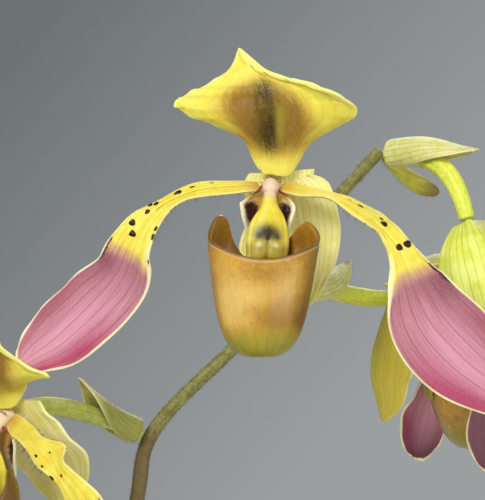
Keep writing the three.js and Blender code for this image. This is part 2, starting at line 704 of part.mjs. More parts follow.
// The lip: a thin-walled pouch on a claw that comes down from behind the column.
function makeLip({ centre = -1.8, sides = 16, rows = 5, wall = POUCH_WALL }) {
  const skin = (inset, bottom, from, to) => {
    const rings = [];
    for (let row = from; row !== to; row += Math.sign(to - from)) {
      const ring = [];
      for (let side = 0; side < sides; side += 1) {
        const angle = (side * 360) / sides - 180;
        const rim = along(angle < 0 ? LEFT_RIM : RIGHT_RIM, Math.abs(angle) / RIM_STEP);
        const share = Math.sin((row / rows) * 90 * DEGREE);
        const height = mix(rim, bottom, 1 - Math.max(0, 1 - share) ** 0.9);
        const half = pouchHalfWidth(height) - inset;
        const down = (POUCH_WIDEST - height) / (POUCH_WIDEST - POUCH_BOTTOM);
        const middle = -15 - 3 * down * down;
        ring.push(
          new THREE.Vector3(
            centre - POUCH_LEAN * Math.max(down, 0) + half * Math.sin(angle * DEGREE),
            middle - POUCH_DEPTH_SHARE * half * Math.cos(angle * DEGREE),
            height,
          ),
        );
      }
      rings.push(ring);
    }
    return rings;
  };
  const outside = skin(0, POUCH_BOTTOM + 0.35, rows, -1);
  const inside = skin(wall, POUCH_BOTTOM + 0.6 + wall, 0, rows + 1);
  const pouch = toSolid(ringSkin([...outside, ...inside]));
  const claw = [
    [[-0.1, -0.6, -2.6], [0, -1, 0], 5.2, 6, 36],
    [[-0.2, -1.1, -5.2], [0, -1, 0], 7.2, 8.4, 40],
    [[-0.5, -2, -8.2], [0, -1, 0.1], 6.6, 7.6, 34],
    [[-0.9, -2.9, -12], [0, -1, 0.1], 5.4, 5.6, 22],
    [[centre + 0.2, -4, -17], [0, -1, 0.1], 4.2, 4.2, 20],
    [[centre, -4.6, -23], [0, -1, 0.1], 4, 4, 20],
    [[centre, -5.2, -28], [0, -1, 0.1], 3.4, 3.4, 20],
  ];
  const strap = toSolid(blade(claw, { thickness: wall, columns: 4 }));
  return toGeometry(pouch.add(strap));
}

// The column with its shield, which ends in two lobes in front of the pouch's mouth.
function makeColumn() {
  const stalk = toSolid(limb([[0, 2.4, 0], [0, -1.5, 0], [0, -4.6, -1.4]], [2.2, 2.2, 2], 8, 1));
  const shield = toSolid(blade(SHIELD, { thickness: 2, columns: 6, lobes: 1.6 }));
  return toGeometry(stalk.add(shield));
}

// The line of a flower's stalk, from the stem's joint to the flower's back. Its end runs
// straight out of the flower's back for a share of its length.
function stalkLine(flower, joint) {
  const end = joint.end ?? OVARY_END;
  const back = flower.localToWorld(new THREE.Vector3(0, end, 0));
  const away = flower.localToWorld(new THREE.Vector3(0, end + 1, 0)).sub(back);
  const leave = vector(joint.towards).normalize();
  const foot = vector(joint.at).addScaledVector(leave, STALK_CLEARANCE);
  const span = foot.distanceTo(back);
  return new THREE.CubicBezierCurve3(
    foot,
    foot.clone().addScaledVector(leave, span * 0.35),
    back.clone().addScaledVector(away, span * (joint.arch ?? 0.4)),
    back,
  );
}

function makeOvary(line) {
  const places = [0, 0.25, 0.5, 0.75, 1].map((share) => line.getPoint(share).toArray());
  return limb(places, [2.1, 2.2, PEDICEL_RADIUS, 2.5, 2.1], 8, 2);
}

// The folded bract that wraps the foot of a stalk and ends in a free point. free is the share
// by which it keeps straight on where its stalk bends away.
function makeBract(line, { upper, reach, rise, free = 0, belly = 0, half = 9.2, blunt = 1 }) {
  const stations = [];
  const curls = [165, 150, 120, 84, 46, 10];
  const widths = [1.03, 1, 0.9, 0.68, 0.38, 0.03];
  const last = curls.length - 1;
  const foot = line.getPoint(BRACT_START);
  const first = line.getTangent(BRACT_START);
  const length = line.getPoint(BRACT_START + reach).distanceTo(foot);
  for (let step = 0; step <= last; step += 1) {
    const share = step / last;
    const spot = BRACT_START + reach * share;
    const tangent = line.getTangent(spot).lerp(first, free * share).normalize();
    const out = vector(upper).addScaledVector(tangent, -vector(upper).dot(tangent)).normalize();
    const lift = BRACT_RADIUS + rise * share ** 2.2 + belly * Math.sin(Math.PI * share);
    const straight = foot.clone().addScaledVector(first, length * share);
    const place = line.getPoint(spot).lerp(straight, free * share).addScaledVector(out, lift);
    const width = half * widths[step] ** blunt;
    stations.push([place.toArray(), out.negate().toArray(), width, width, curls[step]]);
  }
  return blade(stations, { columns: 6, thickness: BRACT_THICKNESS });
}

function addFlower(number, { at, turn = 0, tilt = 0, roll = 0 }) {
  const flower = new THREE.Group();
  flower.position.set(...at);
  flower.rotation.set(tilt * DEGREE, roll * DEGREE, turn * DEGREE, "ZYX");
  flower.name = "flower_" + number;
  plant.add(flower);
  flower.updateMatrixWorld(true);
  return flower;
}

function openFlower(number, pose, parts) {
  const flower = addFlower(number, pose);
  const detail = parts.detail ?? 1;
  const petal = { columns: 4, wave: 0.7, waves: 5, steps: detail };
  const sepal = { columns: 6, thickness: SEPAL_THICKNESS, steps: detail };
  addPiece(flower, `dorsal_sepal_${number}`, "sepal", blade(parts.dorsal, sepal));
  addPiece(flower, `synsepal_${number}`, "sepal", blade(parts.synsepal, sepal));
  addPiece(flower, `petal_left_${number}`, "petal", blade(parts.left, petal));
  addPiece(flower, `petal_right_${number}`, "petal", blade(parts.right, petal));
  addPiece(flower, `lip_${number}`, "lip", makeLip(parts.lip ?? {}));
  addPiece(flower, `column_${number}`, "column", makeColumn());
  return flower;
}

// A flower's ovary with its stalk, and the bract at its foot.
function addStalk(number, flower, joint, bract) {
  const line = stalkLine(flower, joint);
  addPiece(plant, `ovary_${number}`, "ovary", makeOvary(line));
  addPiece(plant, `bract_${number}`, "bract", makeBract(line, bract));
}

// Pot, medium and growths
addPiece(plant, "pot", "clay", makePot());
const holes = GROWTHS.map((growth) => makeCrown(growth, 0.5));
addPiece(plant, "bark_medium", "bark", makeMedium(holes));
let leafNumber = 0;
for (const [index, growth] of GROWTHS.entries()) {
  addPiece(plant, `crown_${index + 1}`, "crown", toGeometry(makeCrown(growth, 0)));
  for (const leaf of growth.leaves) {
    leafNumber += 1;
    const shape = { thickness: LEAF_THICKNESS, columns: 4, steps: 1 };
    addPiece(plant, `leaf_${leafNumber}`, "leaf", blade(leafStations(growth, leaf), shape));
  }
}

// Flower stem and the unopened bud at its tip
addPiece(plant, "scape", "stem", limb(SCAPE_PATH, SCAPE_RADII, 8, 3));
addPiece(
  plant,
  "terminal_bud",
  "stem",
  limb(
    [[111, 11.2, 569], [115.8, 13, 565], [120.4, 13.4, 561.9], [125.9, 13, 559.5]],
    [1, 1.9, 2.5, 1.6],
    8,
    2,
  ),
);

// The flowers, from the lowest joint to the highest
const lowest = openFlower(
  1,
  { at: [12.2, -26, 500.9], turn: -44, tilt: 20 },
  {
    dorsal: hooded(EVEN_DORSAL, 0, 0.62),
    synsepal: hooded(rolled(EVEN_SYNSEPAL, 1.29, -8), 12),
    left: swung(mirrored(RIGHT_PETAL), -4),
    right: swung(RIGHT_PETAL, -12),
  },
);
const firstBract = { upper: [0.1, 0, 1], reach: 0.44, rise: 4.6, free: 0.4 };
addStalk(1, lowest, { at: JOINT.first, towards: [-0.9, -0.2, 0.4], arch: 0.2 }, firstBract);
const middle = openFlower(
  2,
  { at: [80, -40, 560] },
  {
    dorsal: DORSAL_SEPAL,
    synsepal: SYNSEPAL,
    left: LEFT_PETAL,
    right: RIGHT_PETAL,
    lip: { sides: 20, rows: 7 },
    detail: 2,
  },
);
const middleBract = { upper: [0.2, 0, -1], reach: 0.5, rise: 5 };
addStalk(2, middle, { at: JOINT.third, towards: [0, -1, 0.25] }, middleBract);
const right = openFlower(
  3,
  { at: [119, 38, 530.9], turn: 100 },
  {
    dorsal: hooded(rolled(EVEN_DORSAL, 0.66, 30), 66),
    synsepal: bowed(hooded(rolled(EVEN_SYNSEPAL, 1.2, 60, 1), 5, 1.12), 2.6),
    left: swept(mirrored(DROOPING_PETAL), 6),
    right: swept(DROOPING_PETAL, -4),
  },
);
const rightBract = { upper: [0, 0, 1], reach: 0.6, rise: 6 };
addStalk(3, right, { at: JOINT.second, towards: [0.9, 0.4, 0.15] }, rightBract);

// The top flower is half open and nods, with its pouch still folded forward between the sepals
const nodding = addFlower(4, { at: [131.4, -18, 549.9], tilt: 82, roll: -12 });
const shut = { columns: 4, steps: 2 };
addPiece(nodding, "dorsal_sepal_4", "sepal", blade(SHUT_DORSAL, { ...shut, thickness: SEPAL_THICKNESS }));
addPiece(nodding, "synsepal_4", "sepal", blade(SHUT_SYNSEPAL, { ...shut, thickness: SEPAL_THICKNESS }));
addPiece(nodding, "petal_left_4", "petal", blade(mirrored(SHUT_PETAL), shut));
addPiece(nodding, "petal_right_4", "petal", blade(SHUT_PETAL, shut));
const heart = new THREE.Group();
heart.rotation.x = -60 * DEGREE;
heart.scale.setScalar(0.52);
nodding.add(heart);
addPiece(heart, "lip_4", "lip", makeLip({ centre: 0, sides: 12, rows: 4, wall: 1.3 }));
addPiece(heart, "column_4", "column", makeColumn());
const lastStalk = { at: JOINT.last, towards: [0.8, -0.7, -0.2], end: 2.4, arch: 0.5 };
const lastBract = { upper: [0, 0, 1], reach: 0.8, rise: 1.6, free: 1, belly: 2, half: 10, blunt: 0.6 };
addStalk(4, nodding, lastStalk, lastBract);

export default plant;
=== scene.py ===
"""The looks of a potted slipper orchid, Paphiopedilum lowii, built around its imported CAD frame."""

import math

import bpy
import numpy as np
from mathutils import Euler, Matrix, Vector


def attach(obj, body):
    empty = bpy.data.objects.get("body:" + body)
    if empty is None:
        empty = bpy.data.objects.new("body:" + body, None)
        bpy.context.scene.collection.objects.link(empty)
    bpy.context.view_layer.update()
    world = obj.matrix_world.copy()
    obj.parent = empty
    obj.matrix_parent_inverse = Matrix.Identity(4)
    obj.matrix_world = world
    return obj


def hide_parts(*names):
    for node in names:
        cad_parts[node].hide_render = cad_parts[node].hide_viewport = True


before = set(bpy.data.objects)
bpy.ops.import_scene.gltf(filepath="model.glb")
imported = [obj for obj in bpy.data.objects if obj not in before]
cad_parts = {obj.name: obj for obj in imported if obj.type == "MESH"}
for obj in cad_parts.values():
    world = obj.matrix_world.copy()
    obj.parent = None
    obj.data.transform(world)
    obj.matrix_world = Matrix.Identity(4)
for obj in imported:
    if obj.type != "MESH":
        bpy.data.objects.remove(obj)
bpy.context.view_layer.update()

MM = 0.001
DEGREE = math.pi / 180

# Everything below is in millimetres until a mesh is made from it.

# Pot, medium and growths, as in the part
POT_HEIGHT = 118
POT_FOOT_RADIUS = 47
POT_RIM_RADIUS = 68
POT_RIM_BAND = 22
POT_RIM_STEP = 3.5
POT_WALL = 6
DRAIN_RADIUS = 5
DRAIN_RING_RADIUS = 28
DRAIN_COUNT = 4
MEDIUM_TOP = 100
BARK_CHUNKS = 26
GAP = 0.3
CROWN_FOOT = 86
CROWN_TOP = 112
LEAF_THICKNESS = 1.1
LEAF_HALF_WIDTH = 21

# Flower parts, as in the part
PETAL_THICKNESS = 0.8
SEPAL_THICKNESS = 0.9
BRACT_THICKNESS = 0.8
PEDICEL_RADIUS = 2.4
POUCH_HALF_WIDTH = 13.6
POUCH_TAPER = 0.3
POUCH_LEAN = 0.6
POUCH_BOTTOM = -42.2
POUCH_WIDEST = -15
POUCH_WALL = 0.9
POUCH_DEPTH_SHARE = 0.8
OVARY_END = 5.8
MARGIN_WAVES = 5
FOLD_WIDTH = 2.6
FAN_FOOT = 7.5
FAN_TOP = 27
HEART_SIZE = 0.52

# Faces lengthwise and across on each kind of blade, and round the pouch
PETAL_GRID = (170, 36)
DORSAL_GRID = (110, 72)
SYNSEPAL_GRID = (100, 60)
SHUT_SEPAL_GRID = (84, 44)
POUCH_GRID = (64, 144)
CLAW_GRID = (70, 36)
SHIELD_GRID = (70, 56)
BRACT_GRID = (60, 36)
LEAF_GRID = (110, 26)

# Hairs on one piece
PETAL_HAIRS = 70
CLAW_BRISTLES = 420
COLUMN_HAIRS = 90
OVARY_HAIRS = 520
BRACT_HAIRS = 220
SCAPE_HAIRS = 3600
BUD_HAIRS = 360
ROOT_HAIRS = 500
FUZZ_WIDTH = 0.045

# The bark's own numbers: those of the part, and the finer chunks that lie between them here
BARK_SEED = 41
BARK_SPREAD = 54
FINE_CHUNKS = 150
FINE_SPREAD = 57
BARK_CLEARANCE = 0.8

SEED = 20260
STREAMS = 80

# The camera stands where the photograph was taken: level, straight in front, with a long lens
CAMERA_PLACE = (73, -740, 544.25)
CAMERA_LENS = 201.6
SENSOR = 36
# The backdrop brightens to the right and downward: a share for each unit of direction
BACKDROP_RISE = (4.2, 0, -3.6)
BACKDROP_LEVEL = 0.6
BACKDROP_DARK = "#6d7275"
BACKDROP_LIGHT = "#9b9fa0"
# Each lamp's place and size are in metres, its power in watts
LAMPS = (
    ("key", (-0.75, -1.3, 1.45), 1.1, 28),
    ("fill", (1.1, -1.2, 0.9), 1.3, 10),
    ("back", (0.3, 1.3, 1.3), 1.0, 9),
)
LAMP_AIM = (0.07, -0.03, 0.5)
FLOOR_RADIUS = 4500


# Numbers along and across surfaces


def along(values, where):
    """The values at places along a list, on one smooth curve through them all."""
    values = np.asarray(values, float)
    where = np.asarray(where, float)
    last = len(values) - 1
    span = np.clip(np.floor(where).astype(int), 0, last - 1)
    t = where - span
    if values.ndim > 1:
        t = t[..., None]
    padded = np.concatenate([[2 * values[0] - values[1]], values, [2 * values[-1] - values[-2]]])
    before, start, stop, after = (padded[span + step] for step in range(4))
    bend = 2 * before - 5 * start + 4 * stop - after
    turn = 3 * (start - stop) + after - before
    return start + 0.5 * t * (stop - before + t * (bend + t * turn))


def unit(vectors):
    size = np.linalg.norm(vectors, axis=-1, keepdims=True)
    return vectors / np.maximum(size, 1e-9)


def smooth(value, low, high):
    """0 below low, 1 above high, and a soft step between them."""
    share = np.clip((np.asarray(value, float) - low) / (high - low), 0, 1)
    return share * share * (3 - 2 * share)


def hump(value, middle, width):
    return np.exp(-(((np.asarray(value, float) - middle) / width) ** 2))


def ripple(rng, where, waves, count=4):
    """A smooth irregular line between about -1 and 1, from a few sines of nearby lengths."""
    total = np.zeros_like(np.asarray(where, float))
    for _ in range(count):
        total += np.sin(where * waves * rng.uniform(0.6, 1.6) + rng.uniform(0, 2 * math.pi))
    return total / count ** 0.5


def turned(vectors, axis, degrees):
    turn = np.array(Matrix.Rotation(degrees * DEGREE, 3, Vector(axis)))
    return np.asarray(vectors, float) @ turn.T


def spun(x, y, z):
    """The matrix that turns about x, then y, then z, in radians."""
    return np.array(Euler((x, y, z), "XYZ").to_matrix())


def stacked(*parts):
    """Points of a grid from their coordinates, each spread over the whole grid."""
    return np.stack(np.broadcast_arrays(*parts), -1)


def ring_angles(sides):
    return np.arange(sides) * 2 * math.pi / sides


def sized(grid, fine):
    """The faces lengthwise and across of a piece that is finer by a share."""
    return [int(size * fine) for size in grid]


# Shapes: points and faces gathered part by part, then made into one mesh


class Shape:
    def __init__(self):
        self.points = []
        self.faces = []
        self.places = []
        self.slots = []
        self.measures = {}
        self.count = 0

    def add(self, points, faces, places=None, slot=0, **measures):
        """Adds points (n, 3), a list of face arrays, their place on the surface and named measures."""
        points = np.asarray(points, float).reshape(-1, 3)
        size = len(points)
        for block in faces:
            block = np.asarray(block, int)
            self.faces.append(block + self.count)
            self.slots.append(np.full(len(block), slot))
        self.places.append(np.zeros((size, 2)) if places is None else np.reshape(places, (-1, 2)))
        for name in set(self.measures) | set(measures):
            rows = self.measures.setdefault(name, [np.zeros(self.count)])
            rows.append(np.broadcast_to(np.ravel(measures.get(name, 0.0)), (size,)) if size else [])
        self.points.append(points)
        self.count += size

    def mesh(self, name):
        points = np.concatenate(self.points) * MM
        corners = np.concatenate([block.ravel() for block in self.faces])
        sizes = np.concatenate([np.full(len(block), block.shape[1]) for block in self.faces])
        mesh = bpy.data.meshes.new(name)
        mesh.vertices.add(len(points))
        mesh.vertices.foreach_set("co", points.astype(np.float32).ravel())
        mesh.loops.add(len(corners))
        mesh.loops.foreach_set("vertex_index", corners.astype(np.int32))
        mesh.polygons.add(len(sizes))
        starts = np.concatenate([[0], np.cumsum(sizes)[:-1]])
        mesh.polygons.foreach_set("loop_start", starts.astype(np.int32))
        mesh.polygons.foreach_set("material_index", np.concatenate(self.slots).astype(np.int32))
        mesh.polygons.foreach_set("use_smooth", np.ones(len(sizes), bool))
        layer = mesh.uv_layers.new(name="UVMap")
        places = np.concatenate(self.places)
        layer.data.foreach_set("uv", places[corners].astype(np.float32).ravel())
        for key, rows in self.measures.items():
            values = np.concatenate([np.ravel(row) for row in rows])
            attribute = mesh.attributes.new(key, "FLOAT", "POINT")
            attribute.data.foreach_set("value", values.astype(np.float32))
        mesh.update(calc_edges=True)
        mesh.validate()
        return mesh


def grid_faces(rows, columns, wrap=False):
    """Quads of a grid of rows by columns of faces. With wrap, the last column joins the first."""
    line = columns if wrap else columns + 1
    row, column = np.meshgrid(np.arange(rows), np.arange(columns), indexing="ij")
    a = row * line + column
    b = row * line + (column + 1) % line
    return np.stack([a, b, b + line, a + line], -1).reshape(-1, 4)


def closed_faces(rows, sides):
    """Faces of rings joined to a skin, with the first and the last ring closed."""
    ring = np.arange(sides)
    caps = [ring[::-1].reshape(1, -1), (ring + rows * sides).reshape(1, -1)]
    return [grid_faces(rows, sides, wrap=True), *caps]


def sheet_faces(rows, columns):
    """Quads of a front grid, a back grid behind it and the rim between them."""
    line = columns + 1
    back = (rows + 1) * line
    front = grid_faces(rows, columns)
    faces = [front, front[:, ::-1] + back]
    row = np.arange(rows) * line
    column = np.arange(columns)
    top = rows * line + column
    faces.append(np.stack([row, row + line, row + line + back, row + back], -1))
    end = row + columns
    faces.append(np.stack([end, end + back, end + line + back, end + line], -1))
    faces.append(np.stack([column, column + back, column + 1 + back, column + 1], -1))
    faces.append(np.stack([top, top + 1, top + 1 + back, top + back], -1))
    return faces


def grid_normals(points):
    """The normals of a grid of points, from its neighbours: across crossed with lengthwise."""
    lengthwise = np.gradient(points, axis=0)
    across = np.gradient(points, axis=1)
    return unit(np.cross(across, lengthwise))


def split(stations):
    places = np.array([station[0] for station in stations], float)
    facings = np.array([station[1] for station in stations], float)
    widths = np.array([(list(station[2:]) + [0])[:4] for station in stations], float)
    return places, facings, widths


def blade_point(stations, where, side, wave=0, lobes=0):
    """Points of a blade's middle surface. side runs from -1 at the left edge to 1 at the right."""
    places, facings, widths = split(stations)
    last = len(stations) - 1
    point = along(places, where)
    ahead = along(places, np.minimum(where + 0.02, last))
    behind = along(places, np.maximum(where - 0.02, 0))
    tangent = unit(ahead - behind)
    facing = along(facings, where)
    facing = unit(facing - tangent * np.sum(facing * tangent, -1, keepdims=True))
    left, right, curl, lean = np.moveaxis(along(widths, where), -1, 0)
    lean = lean[..., None] * DEGREE
    across = np.cross(tangent, facing) * np.cos(lean) - tangent * np.sin(lean)
    width = np.maximum(np.where(side < 0, left, right), 0.3)
    curl = curl * DEGREE
    flat = np.abs(curl) <= 0.02
    radius = width / np.where(flat, 1, curl)
    out = np.where(flat, width * side, radius * np.sin(curl * side))
    lift = np.where(flat, 0, radius * (1 - np.cos(curl * side)))
    share = where / last
    if wave:
        swell = np.sin(math.pi * np.minimum(1, share * 1.15)) * side * side
        phase = np.where(side < 0, 0.4, 2.1)
        lift = lift + wave * swell * np.sin(2 * math.pi * MARGIN_WAVES * share + phase)
    reach = lobes * share ** 4 * np.sin(math.pi * np.abs(side) * 0.8)
    moved = point + across * out[..., None] + facing * lift[..., None] + tangent * reach[..., None]
    return moved, width


def blade(shape, stations, grid, thickness, relief, tones, **form):
    """A thin closed blade with rounded margins, and the form that its hairs and spots stand on."""
    rows, columns = grid
    last = len(stations) - 1
    lines = np.linspace(0, last, rows + 1)
    sides = np.sin(np.linspace(-math.pi / 2, math.pi / 2, columns + 1))
    where, side = np.meshgrid(lines, sides, indexing="ij")
    middle, width = blade_point(stations, where, side, **form)
    share = where / last
    middle = middle + grid_normals(middle) * relief(share, side)[..., None]
    normal = grid_normals(middle)
    margin = width * (1 - np.abs(side))
    to_tip = np.linalg.norm(middle - middle[-1:, :], axis=-1)
    margin = np.minimum(margin, to_tip)
    rounding = np.sqrt(1 - 0.96 * np.clip(1 - margin / thickness, 0, 1) ** 2)
    half = (thickness / 2 * rounding)[..., None]
    points = np.stack([middle + normal * half, middle - normal * half])
    places = np.stack([(side + 1) / 2, share], -1)
    measures = {"margin": margin, **tones(share, side)}
    both = {name: np.stack([value, value]) for name, value in measures.items()}
    both["front"] = np.stack([np.ones_like(share), np.zeros_like(share)])
    shape.add(points, sheet_faces(rows, columns), np.stack([places, places]), **both)
    return {"stations": stations, "form": form, "half": thickness / 2, "last": last}


def on_blade(sheet, share, side):
    """Points on a blade's front face, with the normal and the lengthwise direction there."""
    last = sheet["last"]
    where = np.asarray(share, float) * last
    side = np.asarray(side, float)
    step = 0.03

    def point(where, side):
        return blade_point(sheet["stations"], where, side, **sheet["form"])[0]

    lengthwise = point(np.minimum(where + step, last), side) - point(np.maximum(where - step, 0), side)
    across = point(where, np.minimum(side + step, 1)) - point(where, np.maximum(side - step, -1))
    normal = unit(np.cross(across, lengthwise))
    return point(where, side) + normal * sheet["half"], normal, unit(lengthwise)


def hairs(shape, roots, directions, lengths, width, droop=(0, 0, -0.2), slot=1):
    """Fine tapered hairs as closed cones that bend a little."""
    sides = 3
    roots = np.asarray(roots, float).reshape(-1, 3)
    count = len(roots)
    directions = unit(np.broadcast_to(np.asarray(directions, float), roots.shape))
    lengths = np.broadcast_to(np.asarray(lengths, float), (count,))[:, None]
    start = np.where(np.abs(directions[:, 2:3]) > 0.9, [[1.0, 0, 0]], [[0, 0, 1.0]])
    first = unit(np.cross(directions, start))
    second = np.cross(directions, first)
    rings = []
    for t in (-0.1, 0.5):
        centre = roots + directions * lengths * t + np.asarray(droop) * lengths * t * abs(t)
        for side in range(sides):
            angle = 2 * math.pi * side / sides
            out = first * math.cos(angle) + second * math.sin(angle)
            rings.append(centre + out * width * (1 - max(t, 0)))
    rings.append(roots + directions * lengths + np.asarray(droop) * lengths)
    points = np.stack(rings, 1)
    stride = 2 * sides + 1
    base = np.arange(count)[:, None] * stride
    quads = [[s, (s + 1) % sides, (s + 1) % sides + sides, s + sides] for s in range(sides)]
    tips = [[s + sides, (s + 1) % sides + sides, 2 * sides] for s in range(sides)]
    cap = [list(range(sides))[::-1]]
    blocks = [
        (base[:, :, None] + np.array(quads)[None]).reshape(-1, 4),
        (base[:, :, None] + np.array(tips)[None]).reshape(-1, 3),
        (base[:, :, None] + np.array(cap)[None]).reshape(-1, sides),
    ]
    shape.add(points, blocks, slot=slot)


def domes(shape, centres, normals, lengthwise, long, wide, height):
    """Raised oval warts, each a low dome sunk a little into the skin."""
    sides, rings = 14, 5
    angle = ring_angles(sides)
    lean = np.linspace(0, math.pi / 2, rings + 1)[:, None]
    dome = stacked(np.cos(lean) * np.cos(angle), np.cos(lean) * np.sin(angle), np.sin(lean))
    base_points = dome.reshape(-1, 3)
    faces = grid_faces(rings, sides, wrap=True)
    closing = np.arange(sides)[::-1].reshape(1, -1)
    for centre, normal, tangent, a, b, c in zip(centres, normals, lengthwise, long, wide, height):
        across = np.cross(normal, tangent)
        lump = 1 + 0.12 * np.sin(3 * np.arctan2(base_points[:, 1], base_points[:, 0]) + centre[0])
        points = (
            centre
            + tangent * (base_points[:, :1] * a * lump[:, None])
            + across * (base_points[:, 1:2] * b * lump[:, None])
            + normal * (base_points[:, 2:] * c - 0.12)
        )
        shape.add(points, [faces, closing], slot=1)


def path_frames(points):
    """Tangents and two cross directions that turn as little as possible along a path."""
    tangents = unit(np.gradient(points, axis=0))
    start = np.array([1.0, 0, 0]) if abs(tangents[0, 2]) > 0.9 else np.array([0, 0, 1.0])
    normals = []
    normal = start
    for tangent in tangents:
        normal = normal - tangent * np.dot(normal, tangent)
        normal = normal / np.linalg.norm(normal)
        normals.append(normal)
    normals = np.array(normals)
    return tangents, normals, np.cross(tangents, normals)


def tube(shape, points, radii, sides, relief=None, **measures):
    """A closed round limb through dense points. relief gives more radius by place and angle."""
    points = np.asarray(points, float)
    rows = len(points)
    tangents, first, second = path_frames(points)
    share = np.linspace(0, 1, rows)[:, None]
    angle = ring_angles(sides)[None, :]
    radius = np.broadcast_to(np.asarray(radii, float)[:, None], (rows, sides))
    if relief is not None:
        radius = radius + relief(share, angle)
    skin = (
        points[:, None]
        + first[:, None] * (radius * np.cos(angle))[..., None]
        + second[:, None] * (radius * np.sin(angle))[..., None]
    )
    places = stacked(angle / (2 * math.pi), share)
    spread = {name: np.broadcast_to(value, (rows, sides)) for name, value in measures.items()}
    shape.add(skin, [block[:, ::-1] for block in closed_faces(rows - 1, sides)], places, **spread)
    return tangents, first, second


def smooth_path(places, count):
    """Dense points on the centripetal curve through places, as the part's limbs follow it."""
    places = [np.asarray(place, float) for place in places]
    padded = [2 * places[0] - places[1], *places, 2 * places[-1] - places[-2]]
    last = len(places) - 1
    points = []
    for step in range(count + 1):
        spot = step / count * last
        span = min(int(spot), last - 1)
        t = spot - span
        p0, p1, p2, p3 = padded[span : span + 4]
        gaps = [max(np.linalg.norm(b - a), 1e-4) ** 0.5 for a, b in ((p0, p1), (p1, p2), (p2, p3))]
        slope = (p1 - p0) / gaps[0] - (p2 - p0) / (gaps[0] + gaps[1]) + (p2 - p1) / gaps[1]
        other = (p2 - p1) / gaps[1] - (p3 - p1) / (gaps[1] + gaps[2]) + (p3 - p2) / gaps[2]
        slope, other = slope * gaps[1], other * gaps[1]
        bend = -3 * p1 + 3 * p2 - 2 * slope - other
        turn = 2 * p1 - 2 * p2 + slope + other
        points.append(p1 + slope * t + bend * t ** 2 + turn * t ** 3)
    return np.array(points)


# Materials


def tint(code):
    """A screen colour such as #c0a030 as the linear colour that the nodes use."""
    values = [int(code[start : start + 2], 16) / 255 for start in (1, 3, 5)]
    linear = [v / 12.92 if v <= 0.04045 else ((v + 0.055) / 1.055) ** 2.4 for v in values]
    return (*linear, 1)


class Value:
    """A node's output in a look, to reckon with in formulas."""

    def __init__(self, look, socket):
        self.look = look
        self.socket = socket

    def __add__(self, other):
        return self.look.math("ADD", self, other)

    def __sub__(self, number):
        return self.look.math("ADD", self, -number)

    def __mul__(self, other):
        return self.look.math("MULTIPLY", self, other)

    def plus(self, other):
        """The sum, kept between 0 and 1."""
        return self.look.math("ADD", self, other, clamp=True)

    def step(self, low, high, start=0.0, stop=1.0):
        """start below low and stop above high, with a soft step between them."""
        node = self.look.node("MapRange", self, low, high, start, stop)
        node.interpolation_type = "SMOOTHSTEP"
        return Value(self.look, node.outputs[0])


